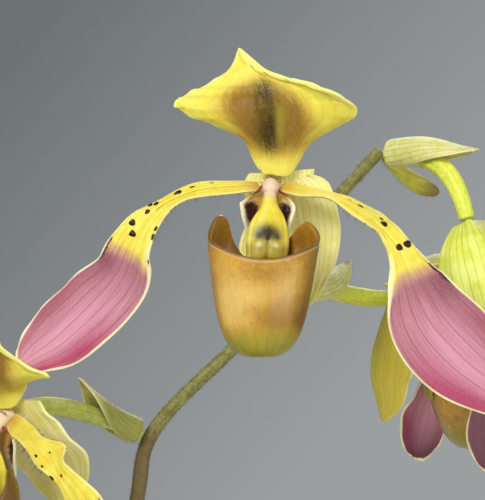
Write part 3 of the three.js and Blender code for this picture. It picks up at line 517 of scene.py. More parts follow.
class Look:
    """A node material, written as short formulas."""

    def __init__(self, name, roughness, specular=0.5, coat=0.0, soft=0.0):
        self.material = bpy.data.materials.new(name)
        self.material.use_nodes = True
        self.nodes = self.material.node_tree.nodes
        self.links = self.material.node_tree.links
        self.shader = self.nodes["Principled BSDF"]
        constants = {
            "Roughness": roughness,
            "Specular IOR Level": specular,
            "Coat Weight": coat,
            "Coat Roughness": 0.2,
            "Subsurface Weight": soft,
            "Subsurface Radius": (1.0, 0.6, 0.3),
            "Subsurface Scale": 0.0012,
        }
        for key, value in constants.items():
            self.shader.inputs[key].default_value = value

    def put(self, socket, value):
        if isinstance(value, Value):
            self.links.new(value.socket, socket)
        else:
            socket.default_value = value

    def node(self, kind, *values):
        """A node whose first inputs are set to values or linked to them."""
        node = self.nodes.new("ShaderNode" + kind)
        for socket, value in zip(node.inputs, values):
            self.put(socket, value)
        return node

    def math(self, kind, one, other, clamp=False):
        node = self.node("Math", one, other)
        node.operation = kind
        node.use_clamp = clamp
        return Value(self, node.outputs[0])

    def mix(self, share, low, high):
        """The colour low where share is 0 and high where it is 1."""
        node = self.nodes.new("ShaderNodeMix")
        node.data_type = "RGBA"
        for socket, value in zip((node.inputs[0], node.inputs[6], node.inputs[7]), (share, low, high)):
            self.put(socket, tint(value) if isinstance(value, str) else value)
        return Value(self, node.outputs[2])

    def measure(self, name):
        """A measure that the mesh carries at each of its points."""
        node = self.nodes.new("ShaderNodeAttribute")
        node.attribute_name = name
        return Value(self, node.outputs["Fac"])

    def frayed(self, name, nudge):
        """A measure whose border is broken up by nudge."""
        marking = self.measure(name)
        return marking.plus(nudge * marking)

    def faced(self, behind, front):
        """One colour on a blade's back and another on its front."""
        return self.mix(self.measure("front").step(0.4, 0.6), behind, front)

    def coordinates(self, kind):
        return Value(self, self.nodes.new("ShaderNodeTexCoord").outputs[kind])

    def place(self):
        """The place in millimetres."""
        node = self.node("VectorMath", self.coordinates("Object"))
        node.operation = "SCALE"
        node.inputs["Scale"].default_value = 1 / MM
        return Value(self, node.outputs[0])

    def stretched(self, across, lengthwise):
        """The place on the surface, with its two directions scaled apart."""
        node = self.node("VectorMath", self.coordinates("UV"), (across, lengthwise, 1.0))
        node.operation = "MULTIPLY"
        return Value(self, node.outputs[0])

    def noise(self, vector, scale=1.0, detail=3.0, roughness=0.5, warp=0.0):
        node = self.node("TexNoise", vector)
        settings = {"Scale": scale, "Detail": detail, "Roughness": roughness, "Distortion": warp}
        for key, value in settings.items():
            node.inputs[key].default_value = value
        return Value(self, node.outputs[0])

    def cells(self, vector, scale=1.0):
        node = self.node("TexVoronoi", vector)
        node.inputs["Scale"].default_value = scale
        return Value(self, node.outputs[0])

    def veins(self, count, thin, wander=0.35):
        """Thin lines that run lengthwise, each wandering a little: 1 on a line and 0 between."""
        wobble = self.noise(self.stretched(2.5, 3.0), 1.0, 2.0)
        across = Value(self, self.node("SeparateXYZ", self.coordinates("UV")).outputs[0])
        line = across * float(count) + wobble * (wander * 2)
        return self.math("PINGPONG", line, 0.5).step(0.0, thin, 1.0, 0.0)

    def bump(self, height, depth, strength=1.0):
        """Relief whose height from 0 to 1 is depth millimetres."""
        node = self.nodes.new("ShaderNodeBump")
        node.inputs["Strength"].default_value = strength
        node.inputs["Distance"].default_value = depth * MM
        self.put(node.inputs["Height"], height)
        self.links.new(node.outputs[0], self.shader.inputs["Normal"])

    def colour(self, value):
        self.put(self.shader.inputs["Base Color"], value)

    def roughness(self, value):
        self.put(self.shader.inputs["Roughness"], value)


def petal_look():
    look = Look("petal_skin", 0.46, specular=0.3, soft=0.06)
    mottle = look.noise(look.place(), 0.35, 4.0, 0.6)
    grain = look.noise(look.stretched(30, 9), 1.0, 5.0, 0.7)
    threads = look.noise(look.stretched(75, 5), 1.0, 3.0, 0.6)
    fine = look.noise(look.place(), 2.6, 3.0, 0.6)
    streaks = (threads - 0.5) * 0.7 + (grain - 0.5) * 0.6
    long_veins = look.veins(7, 0.08)
    fine_veins = look.veins(25, 0.2, 0.6)
    yellow = look.mix(mottle.step(0.35, 0.7), "#ead446", "#f2e35c")
    yellow = look.mix(threads.step(0.5, 0.75) * 0.35, yellow, "#cdb33a")
    yellow = look.mix(look.measure("amber"), yellow, "#cf8f34")
    yellow = look.mix(long_veins * 0.25, yellow, "#b39c34")
    mauve = look.mix(grain.step(0.3, 0.7), "#a76872", "#c3848e")
    pale = look.measure("pale").plus(streaks * 0.9)
    mauve = look.mix(pale * 0.62, mauve, "#e79fb0")
    band = look.frayed("band", streaks)
    mauve = look.mix(band, mauve, "#b23f63")
    dusk = look.frayed("dusk", streaks)
    mauve = look.mix(dusk, mauve, "#84474f")
    mauve = look.mix(long_veins * 0.42, mauve, "#713649")
    mauve = look.mix(fine_veins * 0.12, mauve, "#8a4660")
    mauve = look.mix(fine.step(0.45, 0.75) * 0.12, mauve, "#f6c3cc")
    edge = look.measure("mauve") + streaks * 0.42
    tan = look.mix(threads.step(0.35, 0.65), "#d3b06c", "#bf8471")
    skin = look.mix(edge.step(0.08, 0.5), yellow, tan)
    skin = look.mix(edge.step(0.42, 0.92), skin, mauve)
    freckle = (look.measure("freckle") + (fine - 0.5) * 1.8).step(0.45, 0.6)
    skin = look.mix(freckle * look.measure("freckle").step(0.1, 0.4), skin, "#4f2030")
    behind = look.mix(edge.step(0.3, 0.7), "#cfc452", "#7c4d58")
    behind = look.mix(long_veins * 0.5, behind, "#6d4a46")
    skin = look.faced(behind, skin)
    # Darker plum towards the tip, partly painted shade on the flower that hangs behind.
    skin = look.mix(look.measure("plum"), skin, "#5d2a38")
    inward = look.measure("margin") * look.measure("thin")
    rim = (inward + (fine - 0.5) * 0.3).step(0.25, 0.7, 1.0, 0.0)
    look.colour(look.mix(rim * look.measure("rim"), skin, "#f7ecbc"))
    relief = long_veins * -0.5 + (grain * 0.6 + fine * 0.5)
    look.bump(relief, 0.12, 0.8)
    look.roughness(grain.step(0.2, 0.8, 0.55, 0.4))
    return look.material


def wart_look():
    look = Look("wart", 0.4, specular=0.25)
    spots = look.noise(look.place(), 3.0, 3.0)
    look.colour(look.mix(spots, "#1c070b", "#40121a"))
    look.bump(spots, 0.05, 0.5)
    return look.material


def hair_look(name, dark, light):
    look = Look(name, 0.45)
    look.colour(look.mix(look.noise(look.place(), 0.8, 2.0), dark, light))
    look.bump(look.noise(look.place(), 6.0, 2.0), 0.02, 0.3)
    return look.material


def dorsal_look():
    look = Look("dorsal_skin", 0.5, specular=0.2, soft=0.04)
    mottle = look.noise(look.place(), 0.3, 4.0, 0.6)
    grain = look.noise(look.stretched(34, 5), 1.0, 5.0, 0.7)
    fine = look.noise(look.place(), 2.2, 5.0, 0.75)
    nudge = (grain - 0.5) * 0.8 + (fine - 0.5) * 1.0
    veins = look.veins(13, 0.22, 0.5)
    lemon = look.mix(mottle.step(0.3, 0.7), "#e8d84c", "#f1e464")
    lemon = look.mix(veins * 0.1, lemon, "#b7a233")

    def spread(name, amount=1.0):
        """A marking whose border breaks up into grains and short streaks."""
        marking = look.measure(name)
        return marking.plus(nudge * (marking.step(0.03, 0.5) * amount))
    skin = look.mix(spread("halo") * 0.8, lemon, "#c79c3e")
    skin = look.mix(spread("fan", 1.4) * 0.9, skin, "#7d5f18")
    skin = look.mix(spread("rust", 1.3) * 0.7, skin, "#93662a")
    skin = look.mix(spread("olive", 1.8) * 0.85, skin, "#574509")
    skin = look.mix(spread("dark", 1.9) * 0.95, skin, "#2f2105")
    skin = look.mix(spread("lit", 2.4) * 0.6, skin, "#ab9a38")
    skin = look.mix(look.measure("shade"), skin, "#8d7724")
    # Painted light on the rolled right margin, and a paler lemon band along the left margin.
    skin = look.mix(look.measure("bright"), skin, "#fbf07c")
    behind = look.mix(mottle.step(0.3, 0.7), "#c9c65a", "#dcd772")
    behind = look.mix(veins * 0.45, behind, "#8b8a34")
    skin = look.faced(behind, skin)
    rim = look.measure("margin").step(0.2, 0.8, 0.55, 0.0)
    look.colour(look.mix(rim, skin, "#fbf6a8"))
    look.bump(veins * -0.4 + (grain * 0.5 + fine * 0.5), 0.14, 0.8)
    look.roughness(grain.step(0.2, 0.8, 0.52, 0.38))
    return look.material


def pale_look():
    look = Look("synsepal_skin", 0.5, specular=0.3, soft=0.2)
    mottle = look.noise(look.place(), 0.22, 4.0, 0.6)
    grain = look.noise(look.stretched(22, 4), 1.0, 4.0, 0.6)
    fine = look.noise(look.place(), 2.4, 3.0, 0.6)
    veins = look.veins(15, 0.2, 0.45)
    pale = look.mix(mottle.step(0.35, 0.65), "#efe582", "#f7efa2")
    pale = look.mix(look.measure("green"), pale, "#e8e454")
    pale = look.mix(look.measure("gold"), pale, "#ecd746")
    pale = look.mix(veins * 0.2, pale, "#b8b458")
    pale = look.mix(grain.step(0.5, 0.8) * 0.25, pale, "#f3eebb")
    behind = look.mix(veins * 0.5, "#cfd06a", "#9aa043")
    behind = look.mix(look.measure("gold"), behind, "#e6d04a")
    skin = look.faced(behind, pale)
    rim = look.measure("margin").step(0.2, 0.8, 0.5, 0.0)
    look.colour(look.mix(rim, skin, "#f6f3b8"))
    look.bump(veins * -0.7 + (grain * 0.5 + fine * 0.4), 0.16, 0.8)
    look.roughness(grain.step(0.2, 0.8, 0.52, 0.38))
    return look.material


def bud_sepal_look():
    look = Look("young_sepal_skin", 0.5, specular=0.3, soft=0.2)
    mottle = look.noise(look.place(), 0.2, 4.0, 0.6)
    grain = look.noise(look.stretched(20, 4), 1.0, 4.0, 0.6)
    fine = look.noise(look.place(), 2.2, 4.0, 0.7)
    veins = look.veins(13, 0.16, 0.4)
    skin = look.mix(mottle.step(0.35, 0.65), "#dce352", "#ebf07e")
    skin = look.mix(veins * 0.22, skin, "#a8b43a")
    # Painted shade on the right half of the half-open flower's sepals.
    dull = look.frayed("dull", fine - 0.5)
    skin = look.mix(dull, skin, "#a39a4e")
    rim = look.measure("margin").step(0.2, 0.8, 0.4, 0.0)
    look.colour(look.mix(rim, skin, "#f2f6a0"))
    look.bump(veins * 0.7 + (grain * 0.5 + fine * 0.5), 0.2, 0.9)
    look.roughness(grain.step(0.2, 0.8, 0.55, 0.4))
    return look.material


def pouch_look():
    look = Look("pouch_skin", 0.3, specular=0.45)
    place = look.place()
    patches = look.noise(place, 0.16, 4.0, 0.6, 0.8)
    mottle = look.noise(place, 0.7, 5.0, 0.72, 1.4)
    curls = look.noise(look.stretched(46, 30), 1.0, 4.0, 0.7, 1.6)
    fine = look.noise(place, 3.2, 3.0, 0.6)
    streak = look.noise(look.stretched(30, 3), 1.0, 4.0, 0.65)
    veins = look.veins(22, 0.12, 0.5)
    skin = look.mix(patches.step(0.34, 0.64), "#b27c12", "#cd9827")
    skin = look.mix(mottle.step(0.42, 0.7) * 0.6, skin, "#dbae48")
    skin = look.mix(curls.step(0.52, 0.7) * 0.4, skin, "#e8c67c")
    skin = look.mix(streak.step(0.5, 0.75) * 0.4, skin, "#93681b")
    lit = look.frayed("lit", streak - 0.5)
    skin = look.mix(lit * 0.7, skin, "#edc873")
    # Browner skin, with painted shade on the pouch's right side and far left.
    brown = look.frayed("brown", mottle - 0.5)
    skin = look.mix(brown, skin, "#704a0e")
    skin = look.mix(veins * 0.08, skin, "#7d5718")
    green = look.frayed("green", (streak - 0.5) * 0.9)
    skin = look.mix(green, skin, "#988d12")
    skin = look.mix(veins * look.measure("green") * 0.4, skin, "#6c6314")
    inside = look.mix(patches.step(0.3, 0.7), "#8f6016", "#b58025")
    # Painted shade deeper inside the pouch.
    inside = look.mix(look.measure("deep"), inside, "#5a3a0a")
    skin = look.faced(inside, skin)
    claw = look.mix(mottle.step(0.3, 0.7), "#e6dcae", "#f3ecc8")
    claw = look.mix(look.measure("amber"), claw, "#d9a83c")
    claw = look.mix(look.measure("green_claw"), claw, "#b0a434")
    pupil = look.frayed("bristle", fine - 0.5)
    claw = look.mix(pupil, claw, "#66281c")
    skin = look.mix(look.measure("claw"), skin, claw)
    skin = look.mix(look.measure("rim_line"), skin, "#e6bd76")
    # Painted shadow: a dark line along the rim's top edge.
    look.colour(look.mix(look.measure("rim_edge"), skin, "#6b4516"))
    look.bump(mottle * 0.8 + (veins * -0.3 + fine * 0.4), 0.14, 0.6)
    look.roughness(mottle.step(0.3, 0.7, 0.24, 0.4))
    glaze = look.math("SUBTRACT", 1.0, look.measure("claw"), clamp=True)
    look.put(look.shader.inputs["Coat Weight"], glaze * 0.3)
    return look.material


def column_look():
    look = Look("column_skin", 0.42, specular=0.3, coat=0.06)
    place = look.place()
    mottle = look.noise(place, 0.8, 4.0, 0.6)
    fine = look.noise(place, 2.6, 4.0, 0.7)
    nudge = (fine - 0.5) * 0.9
    skin = look.mix(mottle.step(0.3, 0.7), "#e3cd34", "#efdd4c")
    skin = look.mix(look.measure("green"), skin, "#b09c2c")
    skin = look.mix(look.measure("blush"), skin, "#eccfae")
    skin = look.mix(look.measure("glint"), skin, "#efe59a")
    smoke = look.frayed("smoke", nudge)
    skin = look.mix(smoke * 0.9, skin, "#6f5c17")
    blotch = look.measure("blotch").plus(nudge * look.measure("blotch").step(0.05, 0.5))
    skin = look.mix(blotch, skin, "#2a2008")
    look.colour(look.mix(look.measure("crimson"), skin, "#8c2a17"))
    look.bump(mottle + fine, 0.08, 0.6)
    look.roughness(mottle.step(0.3, 0.7, 0.3, 0.42))
    return look.material


def stalk_look(name, light, dark, shadow):
    """Skin of a ribbed, finely hairy stalk: its ribs are lighter than the grooves between them."""
    look = Look(name, 0.5, soft=0.08)
    ribs = look.noise(look.stretched(34, 1.5), 1.0, 3.0, 0.6)
    mottle = look.noise(look.place(), 0.5, 4.0, 0.65)
    fine = look.noise(look.place(), 4.0, 2.0)
    skin = look.mix(mottle.step(0.35, 0.68), light, dark)
    skin = look.mix(ribs.step(0.45, 0.7) * 0.45, skin, shadow)
    look.colour(look.mix(look.measure("tip"), skin, "#7a5a3a"))
    look.bump(ribs + fine * 0.6, 0.18, 0.8)
    look.roughness(mottle.step(0.3, 0.7, 0.42, 0.6))
    return look.material


def bract_look():
    look = Look("bract_skin", 0.55, soft=0.15)
    mottle = look.noise(look.place(), 0.4, 4.0, 0.6)
    grain = look.noise(look.stretched(24, 3), 1.0, 4.0, 0.6)
    veins = look.veins(15, 0.2, 0.4)
    skin = look.mix(mottle.step(0.35, 0.65), "#e4de78", "#efeaa2")
    skin = look.mix(look.measure("olive"), skin, "#94952f")
    skin = look.mix(veins * 0.3, skin, "#a5a54e")
    skin = look.mix(look.measure("dry"), skin, "#b98a6e")
    rim = look.measure("margin").step(0.2, 0.8, 0.6, 0.0)
    look.colour(look.mix(rim, skin, "#efeac0"))
    look.bump(veins * 0.8 + grain * 0.6, 0.16, 0.8)
    look.roughness(grain.step(0.2, 0.8, 0.62, 0.46))
    return look.material


def leaf_look():
    look = Look("leaf_skin", 0.34, coat=0.15, soft=0.04)
    place = look.place()
    patches = look.noise(place, 0.1, 3.0, 0.5, 0.5)
    checks = look.cells(look.stretched(9, 26), 1.0)
    grain = look.noise(look.stretched(70, 3), 1.0, 3.0, 0.6)
    fine = look.noise(place, 2.0, 3.0)
    skin = look.mix(patches.step(0.35, 0.65), "#2f5a1f", "#44742c")
    skin = look.mix(checks.step(0.25, 0.75) * 0.3, skin, "#5f8c3a")
    skin = look.mix(grain.step(0.5, 0.8) * 0.3, skin, "#28501a")
    skin = look.mix(look.measure("groove"), skin, "#6f9444")
    skin = look.mix(look.measure("foot"), skin, "#93a65a")
    behind = look.mix(patches.step(0.35, 0.65), "#5a7f3f", "#6b8f4b")
    behind = look.mix(grain.step(0.5, 0.8) * 0.4, behind, "#46692f")
    skin = look.faced(behind, skin)
    rim = look.measure("margin").step(0.1, 0.7, 0.5, 0.0)
    skin = look.mix(rim, skin, "#8fb060")
    look.colour(look.mix(look.measure("brown"), skin, "#8a6a3c"))
    look.bump(grain * 0.7 + (checks * 0.5 + fine * 0.2), 0.16, 0.7)
    look.roughness(patches.step(0.3, 0.7, 0.3, 0.42))
    return look.material


def crown_look():
    look = Look("crown_skin", 0.6)
    mottle = look.noise(look.place(), 0.45, 5.0, 0.6)
    fine = look.noise(look.place(), 3.0, 3.0, 0.7)
    skin = look.mix(mottle.step(0.35, 0.65), "#6f8442", "#92a05c")
    skin = look.mix(fine.step(0.5, 0.7) * 0.4, skin, "#5a4a2a")
    root = look.mix(fine.step(0.35, 0.65), "#4a3222", "#8a6b4c")
    look.colour(look.mix(look.measure("root"), skin, root))
    look.bump(mottle + fine, 0.3, 0.9)
    look.roughness(fine.step(0.3, 0.7, 0.55, 0.85))
    return look.material


def bark_look():
    look = Look("bark_chunks", 0.9)
    place = look.place()
    layers = look.noise(place, 0.35, 6.0, 0.7, 1.5)
    fine = look.noise(place, 1.6, 5.0, 0.75)
    cells = look.cells(place, 0.55)
    skin = look.mix(layers.step(0.35, 0.65), "#4a2f1e", "#85583a")
    skin = look.mix(fine.step(0.45, 0.7) * 0.6, skin, "#b08560")
    skin = look.mix(look.measure("pale"), skin, "#a8794f")
    look.colour(look.mix(cells.step(0.0, 0.35, 1.0, 0.0) * 0.6, skin, "#2a1a12"))
    look.bump(layers + (fine * 0.7 + cells * 0.4), 0.9, 1.0)
    look.roughness(fine.step(0.3, 0.7, 0.8, 0.97))
    return look.material


def clay_look():
    look = Look("clay", 0.85, specular=0.3)
    place = look.place()
    clouds = look.noise(place, 0.03, 4.0, 0.6)
    grit = look.noise(place, 1.8, 5.0, 0.75)
    rings = look.noise(look.stretched(3, 160), 1.0, 3.0, 0.6)
    specks = look.cells(place, 0.5).step(0.06, 0.12, 1.0, 0.0)
    skin = look.mix(clouds.step(0.35, 0.65), "#b0643f", "#c47a52")
    skin = look.mix(grit.step(0.45, 0.7) * 0.35, skin, "#d49a74")
    skin = look.mix(rings.step(0.5, 0.7) * 0.25, skin, "#9a5433")
    bloom = (look.noise(place, 0.05, 5.0, 0.65) + look.measure("chalk")).step(0.62, 0.85)
    skin = look.mix(bloom * 0.5, skin, "#dcc4ae")
    look.colour(look.mix(specks * 0.5, skin, "#7a3f28"))
    look.bump(grit * 0.6 + (rings + specks * -0.4), 0.35, 0.7)
    look.roughness(grit.step(0.3, 0.7, 0.78, 0.94))
    return look.material


LOOKS = {
    "petal": petal_look(),
    "wart": wart_look(),
    "dorsal": dorsal_look(),
    "pale": pale_look(),
    "young": bud_sepal_look(),
    "pouch": pouch_look(),
    "column": column_look(),
    "scape": stalk_look("scape_skin", "#a8a458", "#857e3e", "#594e2b"),
    "green_stalk": stalk_look("green_stalk_skin", "#f0f45c", "#e0e852", "#b2bd3e"),
    "olive_stalk": stalk_look("olive_stalk_skin", "#dcde6a", "#c2ca56", "#8e9642"),
    "bud": stalk_look("bud_skin", "#e0da4c", "#cbc246", "#98903a"),
    "bract": bract_look(),
    "leaf": leaf_look(),
    "crown": crown_look(),
    "bark": bark_look(),
    "clay": clay_look(),
    "maroon_hair": hair_look("maroon_hair", "#2a090c", "#5c1a1c"),
    "crimson_hair": hair_look("crimson_hair", "#7a1f1d", "#a84a3c"),
    "pale_hair": hair_look("pale_hair", "#a89468", "#d8cba0"),
    "dark_hair": hair_look("dark_hair", "#3c2a20", "#6b5138"),
}


def finished(name, shape, looks):
    """Makes a piece from a shape. It stands for the CAD node of its own name and rides on the plant."""
    piece = bpy.data.objects.new("look_" + name, shape.mesh(name))
    for look in looks:
        piece.data.materials.append(LOOKS[look])
    bpy.context.scene.collection.objects.link(piece)
    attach(piece, "root")
    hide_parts(name)
    return piece


# The flower parts as stations about the flower's own middle: [place, facing, left, right, curl]

LEFT_PETAL = [
    [[-2.9, 0.3, -0.1], [0, -0.6, 0.8], 2.1, 2.1, 10],
    [[-8, -1.5, 0], [0, -0.6, 0.8], 2.8, 2.6, 8],
    [[-17.5, -3.5, -0.9], [0.05, -0.62, 0.78], 2.7, 2.7, 6],
    [[-25.5, -5, -4], [-0.2, -0.7, 0.68], 2.8, 2.8, 4],
    [[-31, -5.5, -8.7], [-0.3, -0.85, 0.45], 4, 4, 0],
    [[-34.8, -5, -15], [-0.25, -0.93, 0.25], 6.1, 6.3, -4],
    [[-38.3, -3.5, -22.5], [-0.2, -0.95, 0.2], 8.7, 7.3, -8],
    [[-45.3, -1, -30.5], [-0.3, -0.91, 0.27], 9.6, 10.2, -12],
    [[-53, 1.5, -37.5], [-0.3, -0.91, 0.27], 8.4, 9.8, -10],
    [[-59, 3, -42], [-0.3, -0.91, 0.27], 5.4, 7, -6],
    [[-62.4, 3.5, -44.2], [-0.3, -0.91, 0.27], 3, 3.8, -3],
    [[-64.4, 3.8, -45], [-0.3, -0.91, 0.27], 0.4, 0.4, 0],
]
RIGHT_PETAL = [
    [[2.9, 0.3, -0.1], [0, -0.6, 0.8], 2.1, 2.1, 10],
    [[7.5, -2, -0.9], [0, -0.5, 0.86], 2.5, 2.9, 8],
    [[13.7, -5, -2.1], [0.1, -0.42, 0.9], 2.6, 2.8, 6],
    [[18.9, -8, -4.3], [0.25, -0.45, 0.85], 2.8, 2.5, 4],
    [[24, -10.5, -7.8], [0.45, -0.6, 0.66], 5.8, 2.9, 0],
    [[28.3, -12.5, -12], [0.4, -0.85, 0.35], 3.8, 2, 0],
    [[32, -14, -17.2], [0.25, -0.95, 0.15], 4.6, 3.3, -4],
    [[35, -15, -24.5], [0.05, -0.99, 0.1], 8.1, 7.1, -6],
    [[39.2, -16, -33], [0, -1, 0.05], 11, 10.9, -10],
    [[46.5, -16, -41.5], [0, -1, 0.05], 11.8, 11.4, -10],
    [[55.5, -15, -49], [0, -1, 0.05], 9.8, 8.2, -6],
    [[61, -14.2, -53.2], [0, -1, 0.05], 5.2, 4.6, -3],
    [[64, -14, -55.3], [0, -1, 0.05], 0.4, 0.4, 0],
]
DROOPING_PETAL = [
    [[2.9, 0.3, -0.1], [0, -0.6, 0.8], 2.1, 2.1, 10],
    [[7.5, -2, -0.8], [-0.1, -0.5, 0.86], 2.5, 2.5, 8],
    [[13, -6.5, -3], [-0.3, -0.5, 0.8], 2.6, 2.6, 6],
    [[17, -10.5, -7.4], [-0.6, -0.5, 0.5], 2.8, 2.8, 4],
    [[19.6, -13.6, -13], [-0.8, -0.5, 0.3], 3.2, 3.2, 0],
    [[21.8, -15.4, -20], [-0.85, -0.5, 0.2], 4.4, 4.4, -4],
    [[24, -15.4, -28], [-0.9, -0.4, 0.2], 7, 7, -8],
    [[26.2, -14.6, -36], [-0.9, -0.4, 0.2], 8.8, 8.8, -10],
    [[28.2, -14, -42.5], [-0.9, -0.4, 0.2], 7, 7, -8],
    [[29, -13.9, -46], [-0.9, -0.4, 0.2], 3.6, 3.6, -4],
    [[29.3, -13.8, -47.4], [-0.9, -0.4, 0.2], 0.5, 0.5, 0],
]
DORSAL_SEPAL = [
    [[1, 0.9, 2.9], [0, -1, 0], 2.9, 2.6, -20, 0],
    [[1.2, 0.9, 4.6], [0, -1, 0], 4.7, 5.2, -36, 0],
    [[1.2, 0.4, 8.5], [0, -1, 0], 7.7, 9.2, -60, 0],
    [[1.1, -0.4, 11.8], [0, -1, 0], 9.5, 12.4, -45, 3],
    [[0.9, -1, 15], [0, -1, 0], 15.4, 17.4, -25, 4],
    [[0.7, -1.4, 17.2], [0, -1, 0], 21.2, 20, -14, 8],
    [[0.3, -1.6, 19.6], [0, -1, 0], 24.4, 21.4, -4, 14],
    [[-0.5, -1.3, 22.2], [0, -1, 0], 22.6, 19, 2, 21],
    [[-1.6, -0.4, 24.4], [0, -1, 0], 18.4, 14.8, 8, 31],
    [[-2.9, 0.8, 26.4], [0, -1, 0], 11.8, 9.6, 12, 36],
    [[-4.3, 2.2, 28.6], [0, -1, 0], 7.6, 4.4, 12, 33],
    [[-6.3, 4, 31.7], [0, -1, 0], 2.9, 2.4, 10, 30],
    [[-7.8, 5.6, 34.6], [0, -1, 0], 0.4, 0.4, 0, 27],
]
SYNSEPAL = [
    [[2.3, 4.2, 4], [0, -1, 0], 9, 7.5, -14],
    [[2.5, 4.2, 1.5], [0, -1, 0], 8.6, 9.4, -14],
    [[3.5, 4.3, -2], [0, -1, 0], 11.5, 10, -12],
    [[5.2, 4.7, -7], [0, -1, 0], 11.8, 12, -6],
    [[6.5, 5.4, -13.3], [0, -1, 0], 11.5, 14.5, 4],
    [[7.5, 5.6, -19.5], [0, -1, 0], 9.5, 12, 12],
    [[8.2, 5, -24.5], [0, -1, 0], 6.3, 8, 15],
    [[8.5, 4.2, -28.3], [0, -1, 0], 3, 4, 12],
    [[8.5, 3.6, -30.3], [0, -1, 0], 0.4, 0.4, 0],
]
SHIELD = [
    [[-0.2, -4.6, -1.6], [0, -0.95, -0.3], 1.4, 1.4, -10],
    [[-0.2, -5.8, -4.4], [0, -0.97, -0.2], 1.9, 1.9, -26],
    [[-0.3, -7.1, -7.6], [0, -0.98, -0.15], 3.8, 3.8, -32],
    [[-0.6, -8.1, -10.8], [0, -0.98, -0.2], 5, 5, -30],
    [[-0.8, -8.8, -14.2], [0, -0.97, -0.25], 5.3, 5.3, -26],
    [[-1, -9.4, -17.6], [0, -0.96, -0.3], 4.8, 4.8, -22],
]
SHUT_DORSAL = [
    [[0, 1, 3], [0, -0.2, -1], 5, 5, 30],
    [[0, -4, 9], [0, 0, -1], 10.4, 10.4, 46],
    [[0, -13, 13], [0, 0.1, -1], 12.8, 12.8, 48],
    [[0, -24, 12], [0, 0.2, -1], 11.4, 11.4, 44],
    [[0, -34, 8], [0, 0.3, -1], 6.5, 6.5, 36],
    [[0, -41, 4], [0, 0.3, -1], 0.4, 0.4, 0],
]
SHUT_SYNSEPAL = [
    [[0, 1, -3], [0, -0.2, 1], 3, 3, 30],
    [[0, -4, -8.5], [0, 0, 1], 7.5, 7.5, 46],
    [[0, -14, -11.5], [0, 0.1, 1], 9.5, 9.5, 46],
    [[0, -26, -9.5], [0, 0.3, 1], 8, 8, 40],
    [[0, -36, -5.5], [0, 0.3, 1], 0.4, 0.4, 0],
]
SHUT_PETAL = [
    [[3.2, -0.2, 0], [-1, -0.1, 0], 1.9, 1.9, 10],
    [[7.6, -7, 0.4], [-1, 0.1, 0], 2.5, 2.5, 12],
    [[10.6, -16, 0], [-1, 0.05, 0], 3.2, 3.2, 14],
    [[11.4, -26, -1.5], [-1, 0, 0], 5.2, 5.2, 16],
    [[10.6, -35, -3], [-1, -0.1, 0], 5.8, 5.8, 12],
    [[9.4, -42, -4.6], [-1, -0.2, 0], 3.2, 3.2, 6],
    [[8.8, -45, -5.2], [-1, -0.2, 0], 0.4, 0.4, 0],
]


def evened(stations):
    """The same part with both halves alike."""
    return [
        [[0, place[1], place[2]], facing, (left + right) / 2, (left + right) / 2, curl]
        for place, facing, left, right, curl, *_ in stations
    ]


def swept(stations, reach):
    """The same part drawn forward, more so towards its tip."""
    last = len(stations) - 1
    return [
        [[place[0], place[1] - reach * index / last, place[2]], *rest]
        for index, (place, *rest) in enumerate(stations)
    ]


def bowed(stations, reach):
    """The same part bowed backward in its middle."""
    last = len(stations) - 1
    return [
        [np.array(place) + (0, reach * math.sin(math.pi * index / last) ** 4, 0), *rest]
        for index, (place, *rest) in enumerate(stations)
    ]


def mirrored(stations):
    return [
        [[-place[0], place[1], place[2]], [-facing[0], facing[1], facing[2]], right, left, curl]
        for place, facing, left, right, curl in stations
    ]


def swung(stations, degrees):
    """The same part hanging lower or higher: turned about its foot in the flower's own plane."""
    foot = np.array(stations[0][0], float)
    reach = len(stations) - 1
    moved = []
    for index, (place, facing, left, right, curl) in enumerate(stations):
        turn = degrees * min(1, 2 * index / reach)
        spot = turned(np.array(place) - foot, (0, 1, 0), turn) + foot
        moved.append([spot, turned(facing, (0, 1, 0), turn), left, right, curl])
    return moved


def hooded(stations, degrees, growth=1.0):
    """The same part leaning forward over the flower, more so towards its tip, and shorter by a share."""
    foot = np.array(stations[0][0], float)
    last = len(stations) - 1
    moved = []
    for index, (place, facing, left, right, curl) in enumerate(stations):
        turn = degrees * min(1, 1.6 * index / last)
        spot = (np.array(place) - foot) * (1, 1, growth)
        spot = turned(spot, (1, 0, 0), turn) + foot
        moved.append([spot, turned(facing, (1, 0, 0), turn), left, right, curl])
    return moved


def rolled(stations, growth, curl, blunt=0.0):
    """The same part made wider by a share, blunter at its tip and rolled lengthwise."""
    last = len(stations) - 1
    wider = []
    for index, (place, facing, left, right, _) in enumerate(stations):
        share = growth * (1 + blunt * (index / last) ** 3)
        roll = 0 if index == last else curl * min(1, index / 4)
        wider.append([place, facing, left * share, right * share, roll])
    return wider


EVEN_SYNSEPAL = evened(SYNSEPAL)
EVEN_DORSAL = evened(DORSAL_SEPAL)


class Pose:
    """Where a flower stands: turned about x, then y, then z, and moved."""

    def __init__(self, at, turn=0, tilt=0, roll=0, inner=None):
        self.turn = spun(tilt * DEGREE, roll * DEGREE, turn * DEGREE)
        self.at = np.array(at, float)
        if inner is not None:
            self.turn = self.turn @ inner

    def point(self, points):
        return np.asarray(points, float) @ self.turn.T + self.at

    def place(self, shape):
        shape.points = [self.point(block) for block in shape.points]
        return shape


# The flower parts


def ruffled(share, side, power, depth, waves, phases):
    """Waves along both margins, each with its own phase, that fade out towards the middle."""
    return depth * np.abs(side) ** power * np.sin(share * 2 * math.pi * waves + np.where(side < 0, *phases))


